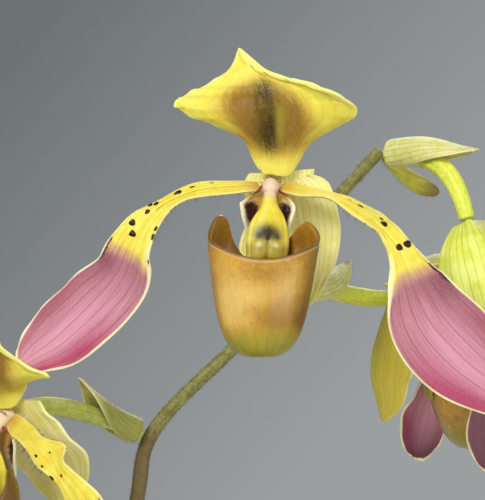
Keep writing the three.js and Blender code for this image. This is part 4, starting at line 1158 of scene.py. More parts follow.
def petal(pose, name, stations, outer, warts, rng, fine=1.0, blush=0.5, wave=0.7, plum=0.0):
    """A petal: yellow strap, mauve blade, raised warts and hairy margins near its foot.
    outer is the side of its upper margin, and warts are (share, side, long, wide)."""
    shape = Shape()
    (waves, left_phase), (_, right_phase) = [(rng.uniform(14, 22), rng.uniform(0, 6)) for _ in range(2)]

    def relief(share, side):
        ruffle = ruffled(share, side, 5, 0.28, waves / 2, (left_phase, right_phase)) * smooth(share, 0.1, 0.5)
        ribs = -0.07 * np.cos(side * math.pi * 4.5) * smooth(share, 0.02, 0.3)
        channel = -0.16 * hump(side, 0, 0.1) * smooth(1 - share, 0.0, 0.4)
        return ruffle + ribs + channel

    def tones(share, side):
        high = side * outer
        past = share - blush
        upper_edge = hump(high, 0.8, 0.25)
        lower_yellow = 0.9 * smooth(-high, 0.45, 0.8) * smooth(0.06 - past, 0, 0.08)
        pale = hump(high, -0.1, 0.5) * smooth(past, 0.03, 0.2)
        pale = pale + 0.5 * smooth(high, 0.55, 0.9) * hump(past, 0.05, 0.05)
        band = smooth(-high, 0.2, 0.85) * smooth(past, 0.1, 0.24) + 0.45 * upper_edge * smooth(past, 0.08, 0.2)
        dusk = 0.7 * smooth(high, -0.1, 0.8) * hump(past, 0.06, 0.055)
        dusk = dusk + 0.3 * hump(past, 0.03, 0.04) + 0.4 * upper_edge * hump(share, 0.72, 0.06)
        wider_rim = 0.9 * smooth(high, 0, 0.5) * smooth(share, 0.7, 0.85) + 1.4 * smooth(share, 0.86, 0.97)
        wider_rim = wider_rim + 2.2 * smooth(-high, 0.3, 0.8) * hump(past, -0.01, 0.05)
        return {
            "mauve": smooth(past, -0.04, 0.045) * (1 - lower_yellow),
            "pale": np.clip(pale * (1 - 0.5 * smooth(share, 0.86, 1)), 0, 1),
            "band": np.clip(band, 0, 0.9),
            "dusk": np.clip(dusk, 0, 0.9),
            "amber": 0.75 * smooth(1 - share, 0.88, 0.99),
            "rim": 0.3 + 0.7 * smooth(past, -0.12, 0.04),
            "thin": 1 / (1 + wider_rim),
            "freckle": hump(high, 0.93, 0.13) * hump(past, 0.015, 0.045),
            # Darker plum towards the tip, partly painted shade on the flower that hangs behind.
            "plum": plum * smooth(share, blush + 0.1, 0.9),
        }

    sheet = blade(shape, stations, sized(PETAL_GRID, fine), PETAL_THICKNESS, relief, tones, wave=wave)
    if warts:
        share, side, long, wide = (np.array(column) for column in zip(*warts))
        domes(shape, *on_blade(sheet, share, side), long, wide, np.minimum(0.42, wide))
    count = int(PETAL_HAIRS * fine)
    share = rng.uniform(0.03, 0.4, count)
    side = np.where(rng.uniform(size=count) < 0.7, -outer, outer) * 0.97
    roots, normals, lengthwise = on_blade(sheet, share, side)
    out = np.cross(lengthwise, normals) * np.sign(side)[:, None]
    spread = out + normals * rng.uniform(-0.6, 0.2, (count, 1))
    spread = spread + lengthwise * rng.uniform(-0.4, 0.4, (count, 1))
    hairs(shape, roots - normals * 0.4, spread, rng.uniform(0.9, 2.0, count), 0.05, slot=2)
    finished(name, pose.place(shape), ["petal", "wart", "maroon_hair"])


def dorsal_sepal(pose, name, stations, rng, fine=1.0):
    """The upper sepal with its brown fan and the fold along its right margin, whose lemon band is partly
    painted light.
    """
    shape = Shape()
    phases = rng.uniform(0, 6, 2)
    right_widths = [station[3] for station in stations]
    last = len(stations) - 1

    def fold_start(share):
        return 1 - FOLD_WIDTH / np.maximum(along(right_widths, share * last), FOLD_WIDTH)

    def relief(share, side):
        ruffle = ruffled(share, side, 6, 0.3, 5.5, phases) * smooth(share, 0.3, 0.5)
        ribs = -0.08 * np.cos(side * math.pi * 6.5) * smooth(share, 0.05, 0.3)
        start = fold_start(share)
        folded = 0.9 * smooth(side, start - 0.03, start + 0.05) * smooth(share, 0.52, 0.62)
        keel = 0.5 * hump(side, 0, 0.12) * smooth(share, 0.5, 0.95)
        return ruffle + ribs + folded + keel

    def tones(share, side):
        middle = blade_point(stations, share * last, side)[0]
        x, z = middle[..., 0], middle[..., 2]
        from_left = x + 2.6 + 0.8 * np.clip(z - FAN_FOOT, 0, 12.5)
        from_right = 5.9 + 0.62 * np.clip(z - FAN_FOOT, 0, 7.5) - x
        from_top = FAN_TOP - np.where(x < -2, 0.035, 0.05) * (x + 2) ** 2 - z
        fan = smooth(from_left, -1.5, 4.5) * smooth(from_right, -1.5, 4.5)
        fan = fan * smooth(from_top, -1, 5) * smooth(z, 6.5, 13)
        halo = smooth(from_left, -6, 2) * smooth(from_right, -6, 2) * smooth(from_top, -3, 3)
        dark = hump(x, 0.4, 2.2) * hump(z, 14, 5) + 0.7 * hump(x, -1.8, 2) * hump(z, 24, 3)
        start = fold_start(share)
        folded = smooth(share, 0.5, 0.6)
        # Painted light on the rolled right margin, where it faces up to the lamps, and a paler band along the
        # upper left margin.
        bright = np.maximum(smooth(side, start - 0.06, start + 0.04), 0.6 * smooth(-side, 0.7, 0.95))
        return {
            "halo": halo * smooth(z, 5, 10),
            "fan": fan,
            "rust": fan * np.clip(smooth(-x, 2.5, 6) + 0.8 * hump(x, 6.3, 2.2), 0, 1),
            "olive": fan * hump(x, -1.2, 3.2),
            "dark": np.clip(dark, 0, 0.95),
            "lit": np.clip(hump(x, 2.4, 1.1) * smooth(z, 9, 14) * smooth(22 - z, 0, 4), 0, 1),
            "shade": 0.25 * hump(side, start - 0.05, 0.04) * folded * smooth(1 - share, 0.08, 0.2),
            "bright": 0.8 * bright * folded,
        }

    blade(shape, stations, sized(DORSAL_GRID, fine), SEPAL_THICKNESS, relief, tones)
    finished(name, pose.place(shape), ["dorsal"])


def synsepal(pose, name, stations, rng, fine=1.0, gold=0.0):
    """The two lower sepals in one: pale with green veins, or golden by a share."""
    shape = Shape()
    phases = rng.uniform(0, 6, 2)

    def relief(share, side):
        ribs = -0.1 * np.cos(side * math.pi * 7.5) * smooth(share, 0.02, 0.2)
        return ruffled(share, side, 5, 0.3, 4.5, phases) + ribs

    def tones(share, side):
        green = 0.35 * smooth(1 - share, 0.86, 0.99) + 0.75 * smooth(share, 0.72, 0.95)
        return {"green": np.clip(green, 0, 1), "gold": np.full_like(share, gold)}

    blade(shape, stations, sized(SYNSEPAL_GRID, fine), SEPAL_THICKNESS, relief, tones)
    finished(name, pose.place(shape), ["pale"])


def pouch_half_width(height):
    down = (POUCH_WIDEST - height) / (POUCH_WIDEST - POUCH_BOTTOM)
    low = POUCH_HALF_WIDTH * (1 - POUCH_TAPER * down) * np.maximum(0, 1 - down ** 6) ** 0.4
    return np.where(down > 0, low, POUCH_HALF_WIDTH * (1 - 1.7 * down * down))


# The rim's height at every 15 degrees from the front to the back. It stands up in an ear on
# each side of the back: the left ear is the higher one, the right ear the broader one.
RIM_STEP = 15
LEFT_RIM = [-18, -17.7, -16.9, -15.7, -14.5, -13.5, -11.2, -8, -7.5, -9.3, -15.2, -19, -20.5]
RIGHT_RIM = [-18, -17.8, -17.1, -16, -14.9, -14, -12.4, -10.2, -9.1, -10, -12.8, -17, -20.5]


def rim_height(angle):
    turn = np.abs(angle) / RIM_STEP
    return np.where(angle < 0, along(LEFT_RIM, turn), along(RIGHT_RIM, turn))


def lip(pose, name, rng, centre=-1.8, wall=POUCH_WALL, fine=1.0):
    """The pouch on its claw: veined glossy walls, a pale rolled rim and dark bristles inside the claw."""
    shape = Shape()
    rows, sides = sized(POUCH_GRID, fine)
    angle = np.arange(sides) * 360 / sides - 180
    ripples = ripple(rng, angle * DEGREE, 7.0)

    def skin(inset, bottom):
        row = np.arange(rows + 1)[:, None]
        rim = rim_height(angle)[None, :]
        share = np.sin(row / rows * math.pi / 2)
        down_share = 1 - np.maximum(0, 1 - share) ** 0.9
        height = rim + (bottom - rim) * down_share
        half = pouch_half_width(height) - inset
        down = (POUCH_WIDEST - height) / (POUCH_WIDEST - POUCH_BOTTOM)
        ribs = 0.07 * np.sin(angle * DEGREE * 11 + 1)[None, :] * smooth(down_share, 0.05, 0.3)
        flare = 0.35 * np.exp(-down_share * 45)
        half = half + ribs + flare + 0.12 * ripples[None, :] * smooth(down_share, 0.0, 0.2)
        half = half * np.where(down_share > 0.999, 0.02, 1)
        middle = -15 - 3 * down * down
        x = centre - POUCH_LEAN * np.maximum(down, 0) + half * np.sin(angle * DEGREE)
        y = middle - POUCH_DEPTH_SHARE * half * np.cos(angle * DEGREE)
        places = stacked(angle[None, :] / 360 + 0.5, 1 - down_share)
        return stacked(x, y, height), down_share, height, places

    outer, down, height, places = skin(0, POUCH_BOTTOM + 0.35)
    inner, inner_down, _, inner_places = skin(wall, POUCH_BOTTOM + 0.6 + wall)
    even = np.ones_like(outer[..., 0])
    green = smooth(-height, 33, 39) * even
    turn = angle[None, :] * even
    # Browner skin with painted shade: darker towards the right side and the far left as if lit from the left,
    # and browner in a low band at the front and a patch under the front rim.
    brown = 0.85 * smooth(turn, 38, 78) * smooth(150 - turn, 0, 40)
    brown = brown + 0.3 * smooth(-turn, 62, 88) * smooth(turn, -150, -110)
    brown = brown + 0.6 * smooth(turn, -30, 20) * hump(height, -33, 5.5)
    brown = brown + 0.35 * hump(turn, 3, 22) * hump(height, -21.5, 2.5)
    lit = hump(turn, -46, 26) * hump(height, -29, 9) + 0.7 * hump(turn, -8, 24) * hump(height, -26.5, 3.5)
    lit = lit + 0.6 * hump(turn, 32, 16) * hump(height, -26, 6)
    front_side = smooth(np.cos(angle * DEGREE), -0.4, 0.1)[None, :]
    marks = {
        "green": green,
        "brown": np.clip(brown * (1 - green), 0, 0.9),
        "lit": np.clip(lit * (1 - green), 0, 1),
        "rim_line": hump(down, 0.016, 0.01) * front_side,
        # Painted shadow: a dark line along the top of the rim, where the inside falls into shade.
        "rim_edge": 0.9 * smooth(0.008 - down, 0.0, 0.006) * even,
    }
    shape.add(outer, [grid_faces(rows, sides, wrap=True)], places, front=1.0, **marks)
    rim = (outer[0] + inner[0]) / 2 + np.array([0, 0, wall * 0.3])
    # The rim's top carries the painted shadow line too.
    shape.add(rim, [], front=1.0, rim_edge=0.9)
    # Painted shade: the inside of the pouch darkens further down.
    deep = smooth(inner_down, 0.05, 0.5) * np.ones_like(inner[..., 0])
    shape.add(inner, [grid_faces(rows, sides, wrap=True)[:, ::-1]], inner_places, deep=deep)
    ring = np.arange(sides)
    after = (ring + 1) % sides
    size = (rows + 1) * sides
    bridge_out = np.stack([ring, ring + size, after + size, after], -1)
    first_inner = size + sides
    bridge_in = np.stack([ring + size, ring + first_inner, after + first_inner, after + size], -1)
    bottom_out = (ring + rows * sides).reshape(1, -1)
    bottom_in = (ring + first_inner + rows * sides)[::-1].reshape(1, -1)
    for block in (bridge_out, bridge_in, bottom_out, bottom_in):
        shape.faces.append(block)
        shape.slots.append(np.zeros(len(block), int))
    claw = [
        [[-0.1, -0.6, -2.6], [0, -1, 0], 5.2, 6, 36],
        [[-0.2, -1.1, -5.2], [0, -1, 0], 7.2, 8.4, 40],
        [[-0.5, -2, -8.2], [0, -1, 0.1], 6.6, 7.6, 34],
        [[-0.9, -2.9, -12], [0, -1, 0.1], 5.4, 5.6, 22],
        [[centre + 0.2, -4, -17], [0, -1, 0.1], 4.2, 4.2, 20],
        [[centre, -4.6, -23], [0, -1, 0.1], 4, 4, 20],
        [[centre, -5.2, -28], [0, -1, 0.1], 3.4, 3.4, 20],
    ]

    def relief(share, side):
        return 0.5 * smooth(np.abs(side), 0.72, 0.95) * smooth(1 - share, 0.35, 0.6)

    def tones(share, side):
        eye = smooth(hump(np.abs(side), 0.6, 0.3) * hump(share, 0.26, 0.2), 0.3, 0.7)
        inner_side = smooth(1 - np.abs(side), 0.35, 0.7)
        return {
            "claw": np.ones_like(share),
            "amber": np.clip(inner_side * smooth(1 - share, 0.5, 0.85) + smooth(1 - share, 0.86, 1), 0, 1),
            "green_claw": smooth(share, 0.5, 0.7),
            "bristle": eye,
        }

    sheet = blade(shape, claw, sized(CLAW_GRID, fine), wall, relief, tones)
    count = int(CLAW_BRISTLES * fine)
    share = np.clip(rng.normal(0.27, 0.085, count), 0.06, 0.5)
    side = np.where(rng.uniform(size=count) < 0.5, -1, 1) * np.clip(rng.normal(0.62, 0.13, count), 0.3, 0.86)
    roots, normals, _ = on_blade(sheet, share, side)
    spread = normals + rng.uniform(-0.55, 0.55, (count, 3))
    hairs(shape, roots, spread, rng.uniform(0.9, 1.9, count), 0.07, droop=(0, 0, -0.1))
    finished(name, pose.place(shape), ["pouch", "maroon_hair"])


def column(pose, name, rng, fine=1.0):
    """The column with its shield, which has a dark blotch above two swollen glossy lobes."""
    shape = Shape()
    spine = smooth_path([[0, 2.4, 0], [0, -1.5, 0], [0, -4.6, -1.4]], 24)
    radii = along([2.2, 2.2, 2.0], np.linspace(0, 2, 25))
    radii = radii * np.sqrt(np.clip(1.02 - np.linspace(0, 1, 25) ** 6, 0.05, 1))
    tube(shape, spine, radii, 28, blush=1.0)

    def relief(share, side):
        lobes = 0.45 * hump(np.abs(side), 0.36, 0.3) * smooth(share, 0.72, 0.8)
        groove = -0.6 * hump(side, 0, 0.12) * smooth(share, 0.7, 0.8)
        edge = 0.35 * smooth(np.abs(side), 0.7, 0.95) * smooth(share, 0.2, 0.5)
        knob = 0.55 * hump(share, 0.14, 0.09) * hump(side, 0.2, 0.6)
        return lobes + groove + edge + knob

    def tones(share, side):
        arch = hump(share, 0.64, 0.085) * hump(side, 0.02, 0.4)
        notch = hump(side, 0.02, 0.1) * hump(share, 0.74, 0.08)
        wings = 0.7 * hump(np.abs(side), 0.42, 0.16) * hump(share, 0.69, 0.06)
        return {
            "smoke": np.clip(1.3 * hump(share, 0.65, 0.13) * hump(side, 0.02, 0.62), 0, 0.8),
            "blotch": np.clip(1.1 * arch + 0.9 * notch + wings, 0, 0.95),
            "green": smooth(share, 0.7, 0.86),
            "glint": np.clip(1.3 * hump(np.abs(side), 0.34, 0.09) * hump(share, 0.8, 0.025), 0, 1),
            "blush": np.clip(1.1 * hump(share, 0.03, 0.08), 0, 1),
        }

    blade(shape, SHIELD, sized(SHIELD_GRID, fine), 2.0, relief, tones, lobes=1.6)
    for foot, knee, end in (
        ([-1.9, -1.9, 0.7], [-2.9, -2.4, -0.8], [-4.6, -2.6, -2.1]),
        ([1.0, -2.1, 0.6], [2.1, -2.6, -1.0], [4.4, -2.9, -2.4]),
    ):
        ridge = smooth_path([foot, knee, end], 14)
        thick = 0.34 * np.sin(np.linspace(0.25, math.pi - 0.15, 15))
        tube(shape, ridge, thick, 8, crimson=1.0)
    count = int(COLUMN_HAIRS * fine)
    turn = rng.uniform(-0.35, math.pi + 0.35, count)
    reach = rng.uniform(0.4, 1.7, count)
    roots = stacked(0.2 + reach * 1.35 * np.cos(turn), -0.4, 1.3 + reach * np.sin(turn))
    spread = stacked(np.cos(turn) * 0.7, -0.8, np.sin(turn) * 0.7 + 0.3) + rng.uniform(-0.3, 0.3, (count, 3))
    hairs(shape, roots, spread, rng.uniform(0.8, 1.6, count), 0.06)
    finished(name, pose.place(shape), ["column", "crimson_hair"])


def stalk_line(pose, at, towards, end, arch):
    """The line of a flower's stalk, from the stem's joint to the flower's back."""
    back = pose.point([0, end, 0])
    away = pose.point([0, end + 1, 0]) - back
    leave = unit(np.array(towards, float))
    foot = np.array(at) + leave * 2.5
    span = np.linalg.norm(foot - back)
    corners = [foot, foot + leave * span * 0.35, back + away * span * arch, back]

    def point(share):
        share = np.asarray(share, float)[..., None]
        rest = 1 - share
        return (
            corners[0] * rest ** 3
            + corners[1] * 3 * rest ** 2 * share
            + corners[2] * 3 * rest * share ** 2
            + corners[3] * share ** 3
        )

    return point


def fuzz(shape, points, radii, frames, rng, count, length):
    """Short hairs that stand out all round a limb."""
    tangents, first, second = frames
    index = rng.integers(1, len(points) - 1, count)
    angle = rng.uniform(0, 2 * math.pi, count)[:, None]
    out = first[index] * np.cos(angle) + second[index] * np.sin(angle)
    roots = points[index] + tangents[index] * rng.uniform(-0.5, 0.5, (count, 1))
    roots = roots + out * np.asarray(radii)[index][:, None]
    spread = out + rng.uniform(-0.35, 0.35, (count, 3))
    hairs(shape, roots, spread, rng.uniform(0.6, 1.3, count) * length, FUZZ_WIDTH)


def ovary(name, line, rng, look):
    """The stalk of a flower with its ribbed ovary."""
    shape = Shape()
    rows = 90
    share = np.linspace(0, 1, rows + 1)
    points = line(share)
    radii = along([2.1, 2.2, PEDICEL_RADIUS, 2.5, 2.1], share * 4)
    radii = radii * np.where(share < 0.01, 0.9, 1)

    def relief(where, angle):
        ribbed = smooth(where, 0.25, 0.5) * smooth(1 - where, 0.0, 0.1)
        return 0.13 * np.cos(angle * 6 + where * 1.5) * ribbed

    frames = tube(shape, points, radii, 42, relief)
    fuzz(shape, points, radii, frames, rng, OVARY_HAIRS, 0.75)
    finished(name, shape, [look, "pale_hair"])


def bract(name, line, rng, upper, reach, rise, free=0.0, belly=0.0, half=9.2, blunt=1.0, olive=0.0, dry=0.3):
    """The folded bract that wraps the foot of a stalk and ends in a free point. free is the
    share by which it keeps straight on where its stalk bends away."""
    shape = Shape()
    curls = [165, 150, 120, 84, 46, 10]
    widths = [1.03, 1, 0.9, 0.68, 0.38, 0.03]
    last = len(curls) - 1
    first = unit(line(0.032) - line(0.028))
    stations = []
    for step in range(last + 1):
        share = step / last
        spot = 0.03 + reach * share
        bent = unit(line(spot + 0.002) - line(spot - 0.002))
        tangent = unit(bent + (first - bent) * free * share)
        out = np.array(upper, float)
        out = unit(out - tangent * np.dot(out, tangent))
        straight = line(0.03) + first * np.linalg.norm(line(0.03 + reach) - line(0.03)) * share
        spine = line(spot) + (straight - line(spot)) * free * share
        place = spine + out * (3.3 + rise * share ** 2.2 + belly * math.sin(math.pi * share))
        width = half * widths[step] ** blunt
        stations.append([place, -out, width, width, curls[step]])

    def relief(share, side):
        return -0.07 * np.cos(side * math.pi * 7.5)

    def tones(share, side):
        return {
            "olive": np.clip(olive * smooth(1 - share, 0.1, 0.5), 0, 1),
            "dry": dry * smooth(share, 0.78, 0.97),
        }

    sheet = blade(shape, stations, BRACT_GRID, BRACT_THICKNESS, relief, tones)
    count = BRACT_HAIRS
    share = rng.uniform(0.02, 0.95, count)
    side = rng.uniform(-0.98, 0.98, count)
    side = np.where(rng.uniform(size=count) < 0.45, np.sign(side) * 0.98, side)
    roots, normals, lengthwise = on_blade(sheet, share, side)
    roots = roots - normals * BRACT_THICKNESS
    spread = -normals + lengthwise * 0.3 + rng.uniform(-0.3, 0.3, (count, 3))
    hairs(shape, roots, spread, rng.uniform(0.4, 0.9, count), 0.04)
    finished(name, shape, ["bract", "pale_hair"])


# Flower stem

JOINTS = {
    "first": [48.2, 10, 494.1],
    "second": [85.2, 10, 532.7],
    "third": [86, 10, 544.25],
    "last": [109.9, 8, 570.8],
}
SCAPE_PATH = [
    [0, -10, CROWN_TOP + GAP],
    [4, -6, 200],
    [14, 0, 300],
    [30, 6, 400],
    [44.7, 10, 477.3],
    JOINTS["first"],
    [70.7, 10, 518],
    JOINTS["second"],
    JOINTS["third"],
    [96.2, 10, 556],
    JOINTS["last"],
]
SCAPE_RADII = [2.3, 2.3, 2.2, 2.1, 2, 1.9, 1.7, 1.8, 1.8, 1.6, 1.6]
# Below this height the flower stem is brown, and olive above
FIRST_JOINT_HEIGHT = 497


def scape(rng):
    shape = Shape()
    rows = 420
    points = smooth_path(SCAPE_PATH, rows)
    radii = along(SCAPE_RADII, np.linspace(0, len(SCAPE_RADII) - 1, rows + 1))

    def relief(where, angle):
        return 0.05 * np.sin(angle * 5 + where * 30) + 0.04 * np.sin(angle * 2 + where * 90)

    brown = (0.75 * smooth(FIRST_JOINT_HEIGHT - points[:, 2], -2, 5))[:, None]
    frames = tube(shape, points, radii, 30, relief, tip=brown)
    fuzz(shape, points, radii, frames, rng, SCAPE_HAIRS, 0.7)
    finished("scape", shape, ["scape", "dark_hair"])


def terminal_bud(rng):
    shape = Shape()
    rows = 60
    places = [[111, 11.2, 569], [115.8, 13, 565], [120.4, 13.4, 561.9], [125.9, 13, 559.5]]
    points = smooth_path(places, rows)
    share = np.linspace(0, 1, rows + 1)
    radii = along([1, 1.9, 2.5, 1.6], share * 3) * np.sqrt(np.clip(1.01 - share ** 14, 0.02, 1))

    def relief(where, angle):
        seam = -0.3 * hump(np.sin(angle + where * 2), 0.3, 0.12)
        return seam * smooth(where, 0.15, 0.4) * smooth(1 - where, 0, 0.1)

    tip = (smooth(share, 0.62, 0.98) * 0.85)[:, None]
    frames = tube(shape, points, radii, 30, relief, tip=tip)
    fuzz(shape, points, radii, frames, rng, BUD_HAIRS, 0.8)
    finished("terminal_bud", shape, ["bud", "pale_hair"])


# Growths: leaves on short crowns with thick roots. Each leaf is given as its side of the fan, its
# distance from the middle, length, width, first and last climb, and swing, in mm and degrees.

GROWTHS = [
    {
        "at": (0, -10),
        "turn": 12,
        "length": 38,
        "width": 17,
        "roots": [-125, -60, 40, 150],
        "reach": 1.0,
        "leaves": [
            (1, 7, 300, 0.98, 84, -18, 6),
            (-1, 7, 285, 0.95, 82, -26, -7),
            (1, 11.5, 310, 1.05, 70, -48, -8),
            (-1, 11.5, 320, 1.04, 68, -46, 8),
            (1, 16, 265, 1.0, 50, -58, 9),
            (-1, 16, 255, 0.98, 48, -60, -10),
        ],
    },
    {
        "at": (-5, 35),
        "turn": 20,
        "length": 28,
        "width": 14,
        "roots": [75, 200],
        "reach": 0.35,
        "leaves": [
            (1, 2, 150, 0.62, 88, 50, 10),
            (1, 7, 215, 0.78, 76, -20, 12),
            (-1, 6.5, 225, 0.8, 78, -14, -16),
            (1, 11.5, 180, 0.76, 54, -48, 16),
            (-1, 11, 190, 0.78, 56, -46, -18),
        ],
    },
]


def leaf_stations(growth, side, offset, length, width, rise, droop, swing):
    """A strap leaf that leaves its fan upright, then arches out and down."""
    turn = growth["turn"] + (180 if side < 0 else 0)
    fan = np.array([math.cos(turn * DEGREE), math.sin(turn * DEGREE), 0])
    place = np.array([*growth["at"], CROWN_TOP + GAP], float) + fan * offset
    profile = [0.62, 0.66, 0.78, 0.92, 1, 1, 0.96, 0.86, 0.66, 0.36, 0.04]
    curls = [24, 32, 36, 34, 30, 26, 24, 22, 20, 14, 6]
    pieces = len(profile) - 1
    stations = []
    for step in range(pieces + 1):
        share = step / pieces
        heading = (turn + swing * share) * DEGREE
        climb = (rise + (droop - rise) * share ** 1.25) * DEGREE
        out = np.array([math.cos(heading), math.sin(heading), 0])
        facing = out * -math.sin(climb) + np.array([0, 0, math.cos(climb)])
        half = LEAF_HALF_WIDTH * width * profile[step]
        stations.append([place.copy(), facing, half, half, curls[step]])
        reach = length / pieces * (0.8 if step > pieces - 3 else 1)
        place = place + out * reach * math.cos(climb) + np.array([0, 0, reach * math.sin(climb)])
    return stations


def leaf(name, stations, rng):
    shape = Shape()
    sway = rng.uniform(0, 6, 3)
    worn = rng.uniform(0.2, 0.9)

    def relief(share, side):
        fold = -1.6 * hump(side, 0, 0.16) * smooth(1 - share, 0.02, 0.25)
        ribs = -0.06 * np.cos(side * math.pi * 9)
        edge = np.abs(side) ** 4
        phase = np.where(side < 0, sway[0], sway[1])
        waves = 0.9 * edge * np.sin(share * 11 + phase) * smooth(share, 0.2, 0.5)
        bow = 0.5 * np.sin(share * 7 + sway[2]) * smooth(share, 0.1, 0.4)
        return fold + ribs + waves + bow

    def tones(share, side):
        return {
            "groove": 0.5 * hump(side, 0, 0.05),
            "foot": smooth(1 - share, 0.86, 0.99),
            "brown": worn * smooth(share, 0.975, 0.998),
        }

    blade(shape, stations, LEAF_GRID, LEAF_THICKNESS, relief, tones)
    finished(name, shape, ["leaf"])


def crown(name, growth, rng):
    """The short stem of a growth: leaf bases clasping each other over thick roots."""
    shape = Shape()
    rows, sides = 26, 72
    angle = ring_angles(sides)[None, :]
    height = np.linspace(CROWN_FOOT, CROWN_TOP, rows + 1)[:, None]
    share = along([0.7, 0.95, 1, 0.96], np.interp(height, [CROWN_FOOT, 94, 106, CROWN_TOP], [0, 1, 2, 3]))
    share = share * np.where(height >= CROWN_TOP, 0.97, 1)
    scales = np.abs(np.sin(angle * 2 + height * 0.11)) ** 0.6 * 0.9 - 0.7
    long = growth["length"] / 2 * share + scales
    wide = growth["width"] / 2 * share + scales
    local = stacked(long * np.cos(angle), wide * np.sin(angle), height)
    body = turned(local, (0, 0, 1), growth["turn"]) + np.array([*growth["at"], 0])
    places = stacked(angle / (2 * math.pi), (height - CROWN_FOOT) / (CROWN_TOP - CROWN_FOOT))
    shape.add(body, closed_faces(rows, sides), places)
    for turn in growth["roots"]:
        out = np.array([math.cos(turn * DEGREE), math.sin(turn * DEGREE), 0])
        spots = []
        for reach, level in ((0, 102), (6, 105), (13, 103.5), (17, 96), (18, 88)):
            far = growth["width"] / 2 - 3 + reach * growth["reach"]
            spots.append(np.array([*growth["at"], level], float) + out * far)
        points = smooth_path(spots, 60)
        radii = along([2.1, 2.1, 2.1, 2.1, 1.68], np.linspace(0, 4, 61))
        wobble = 0.1 * ripple(rng, np.linspace(0, 20, 61), 1.3)
        frames = tube(shape, points, radii + wobble, 20, root=1.0)
        fuzz(shape, points, radii, frames, rng, ROOT_HAIRS, 0.6)
    finished(name, shape, ["crown", "dark_hair"])


# Pot and medium


def inner_radius(height):
    body_top = POT_RIM_RADIUS - POT_RIM_STEP
    share = np.asarray(height, float) / (POT_HEIGHT - POT_RIM_BAND)
    outer = POT_FOOT_RADIUS + (body_top - POT_FOOT_RADIUS) * share
    return np.minimum(outer, body_top + 2) - POT_WALL


def rounded_profile(corners):
    """The corners of a turned outline, each cut to a small round."""
    radius, steps = 0.9, 4
    corners = [np.array(corner, float) for corner in corners]
    outline = [corners[0]]
    for before, corner, after in zip(corners, corners[1:], corners[2:]):
        reach_in = min(radius, np.linalg.norm(before - corner) * 0.4)
        reach_out = min(radius, np.linalg.norm(after - corner) * 0.4)
        start = corner + unit(before - corner) * reach_in
        stop = corner + unit(after - corner) * reach_out
        for step in range(steps + 1):
            t = step / steps
            outline.append(start * (1 - t) ** 2 + corner * 2 * t * (1 - t) + stop * t ** 2)
    outline.append(corners[-1])
    return np.array(outline)


def pot(rng):
    band_bottom = POT_HEIGHT - POT_RIM_BAND
    body_top = POT_RIM_RADIUS - POT_RIM_STEP
    corners = [
        [0.2, 0],
        [POT_FOOT_RADIUS - 1.5, 0],
        [POT_FOOT_RADIUS, 1.5],
        [body_top - 0.5, band_bottom - 1.5],
        [body_top + 1.2, band_bottom],
        [POT_RIM_RADIUS - 0.8, band_bottom + 1],
        [POT_RIM_RADIUS, POT_HEIGHT - 3],
        [POT_RIM_RADIUS - 1.5, POT_HEIGHT],
        [inner_radius(POT_HEIGHT) + 2, POT_HEIGHT],
        [inner_radius(POT_HEIGHT) + 0.3, POT_HEIGHT - 2],
        [inner_radius(band_bottom), band_bottom],
        [inner_radius(POT_WALL + 4), POT_WALL + 4],
        [inner_radius(POT_WALL) - 4, POT_WALL],
        [0.2, POT_WALL],
    ]
    outline = rounded_profile(corners)
    dense = [outline[0]]
    for start, stop in zip(outline, outline[1:]):
        pieces = max(1, int(np.linalg.norm(stop - start) / 4))
        dense.extend(start + (stop - start) * (step + 1) / pieces for step in range(pieces))
    outline = np.array(dense)
    sides = 144
    angle = ring_angles(sides)
    radius, height = outline[:, :1], outline[:, 1:]
    throw = 0.12 * np.sin(height * 0.9) * smooth(radius, 30, 45)
    wobble = 0.25 * ripple(rng, angle, 2.0)[None, :] * smooth(radius, 30, 45) * smooth(height, 0, 20)
    reach = np.minimum(radius + throw + wobble, POT_RIM_RADIUS + 0.2)
    points = stacked(reach * np.cos(angle), reach * np.sin(angle), height)
    rows = len(outline) - 1
    places = stacked(angle[None] / (2 * math.pi), height / POT_HEIGHT)
    chalk = 0.16 * smooth(height, 95, 118) + 0.14 * smooth(12 - height, 0, 12)
    shape = Shape()
    shape.add(points, closed_faces(rows, sides), places, chalk=np.broadcast_to(chalk, points.shape[:2]))
    piece = finished("pot", shape, ["clay"])
    for hole in range(DRAIN_COUNT):
        turn = (hole + 0.5) * 2 * math.pi / DRAIN_COUNT
        cutter = Shape()
        centre = np.array([math.cos(turn), math.sin(turn), 0]) * DRAIN_RING_RADIUS
        spots = [centre + np.array([0, 0, level]) for level in (-POT_WALL, 0, POT_WALL, 2 * POT_WALL)]
        tube(cutter, spots, [DRAIN_RADIUS] * 4, 32)
        tool = bpy.data.objects.new("drain_cutter", cutter.mesh("drain_cutter"))
        bpy.context.scene.collection.objects.link(tool)
        cut = piece.modifiers.new("drain", "BOOLEAN")
        cut.operation = "DIFFERENCE"
        cut.object = tool
        cut.solver = "EXACT"
        bpy.context.view_layer.update()
        evaluated = piece.evaluated_get(bpy.context.evaluated_depsgraph_get())
        cutaway = bpy.data.meshes.new_from_object(evaluated)
        piece.modifiers.clear()
        piece.data = cutaway
        bpy.data.objects.remove(tool)


def part_random(seed):
    """The same repeatable stream of numbers from 0 to 1 as the part uses for its bark."""
    state = seed

    def draw():
        nonlocal state
        state = (state + 0x6D2B79F5) & 0xFFFFFFFF
        mixed = ((state ^ (state >> 15)) * (1 | state)) & 0xFFFFFFFF
        mixed = ((mixed + (mixed ^ (mixed >> 7)) * (61 | mixed)) & 0xFFFFFFFF) ^ mixed
        return ((mixed ^ (mixed >> 14)) & 0xFFFFFFFF) / 4294967296

    return draw


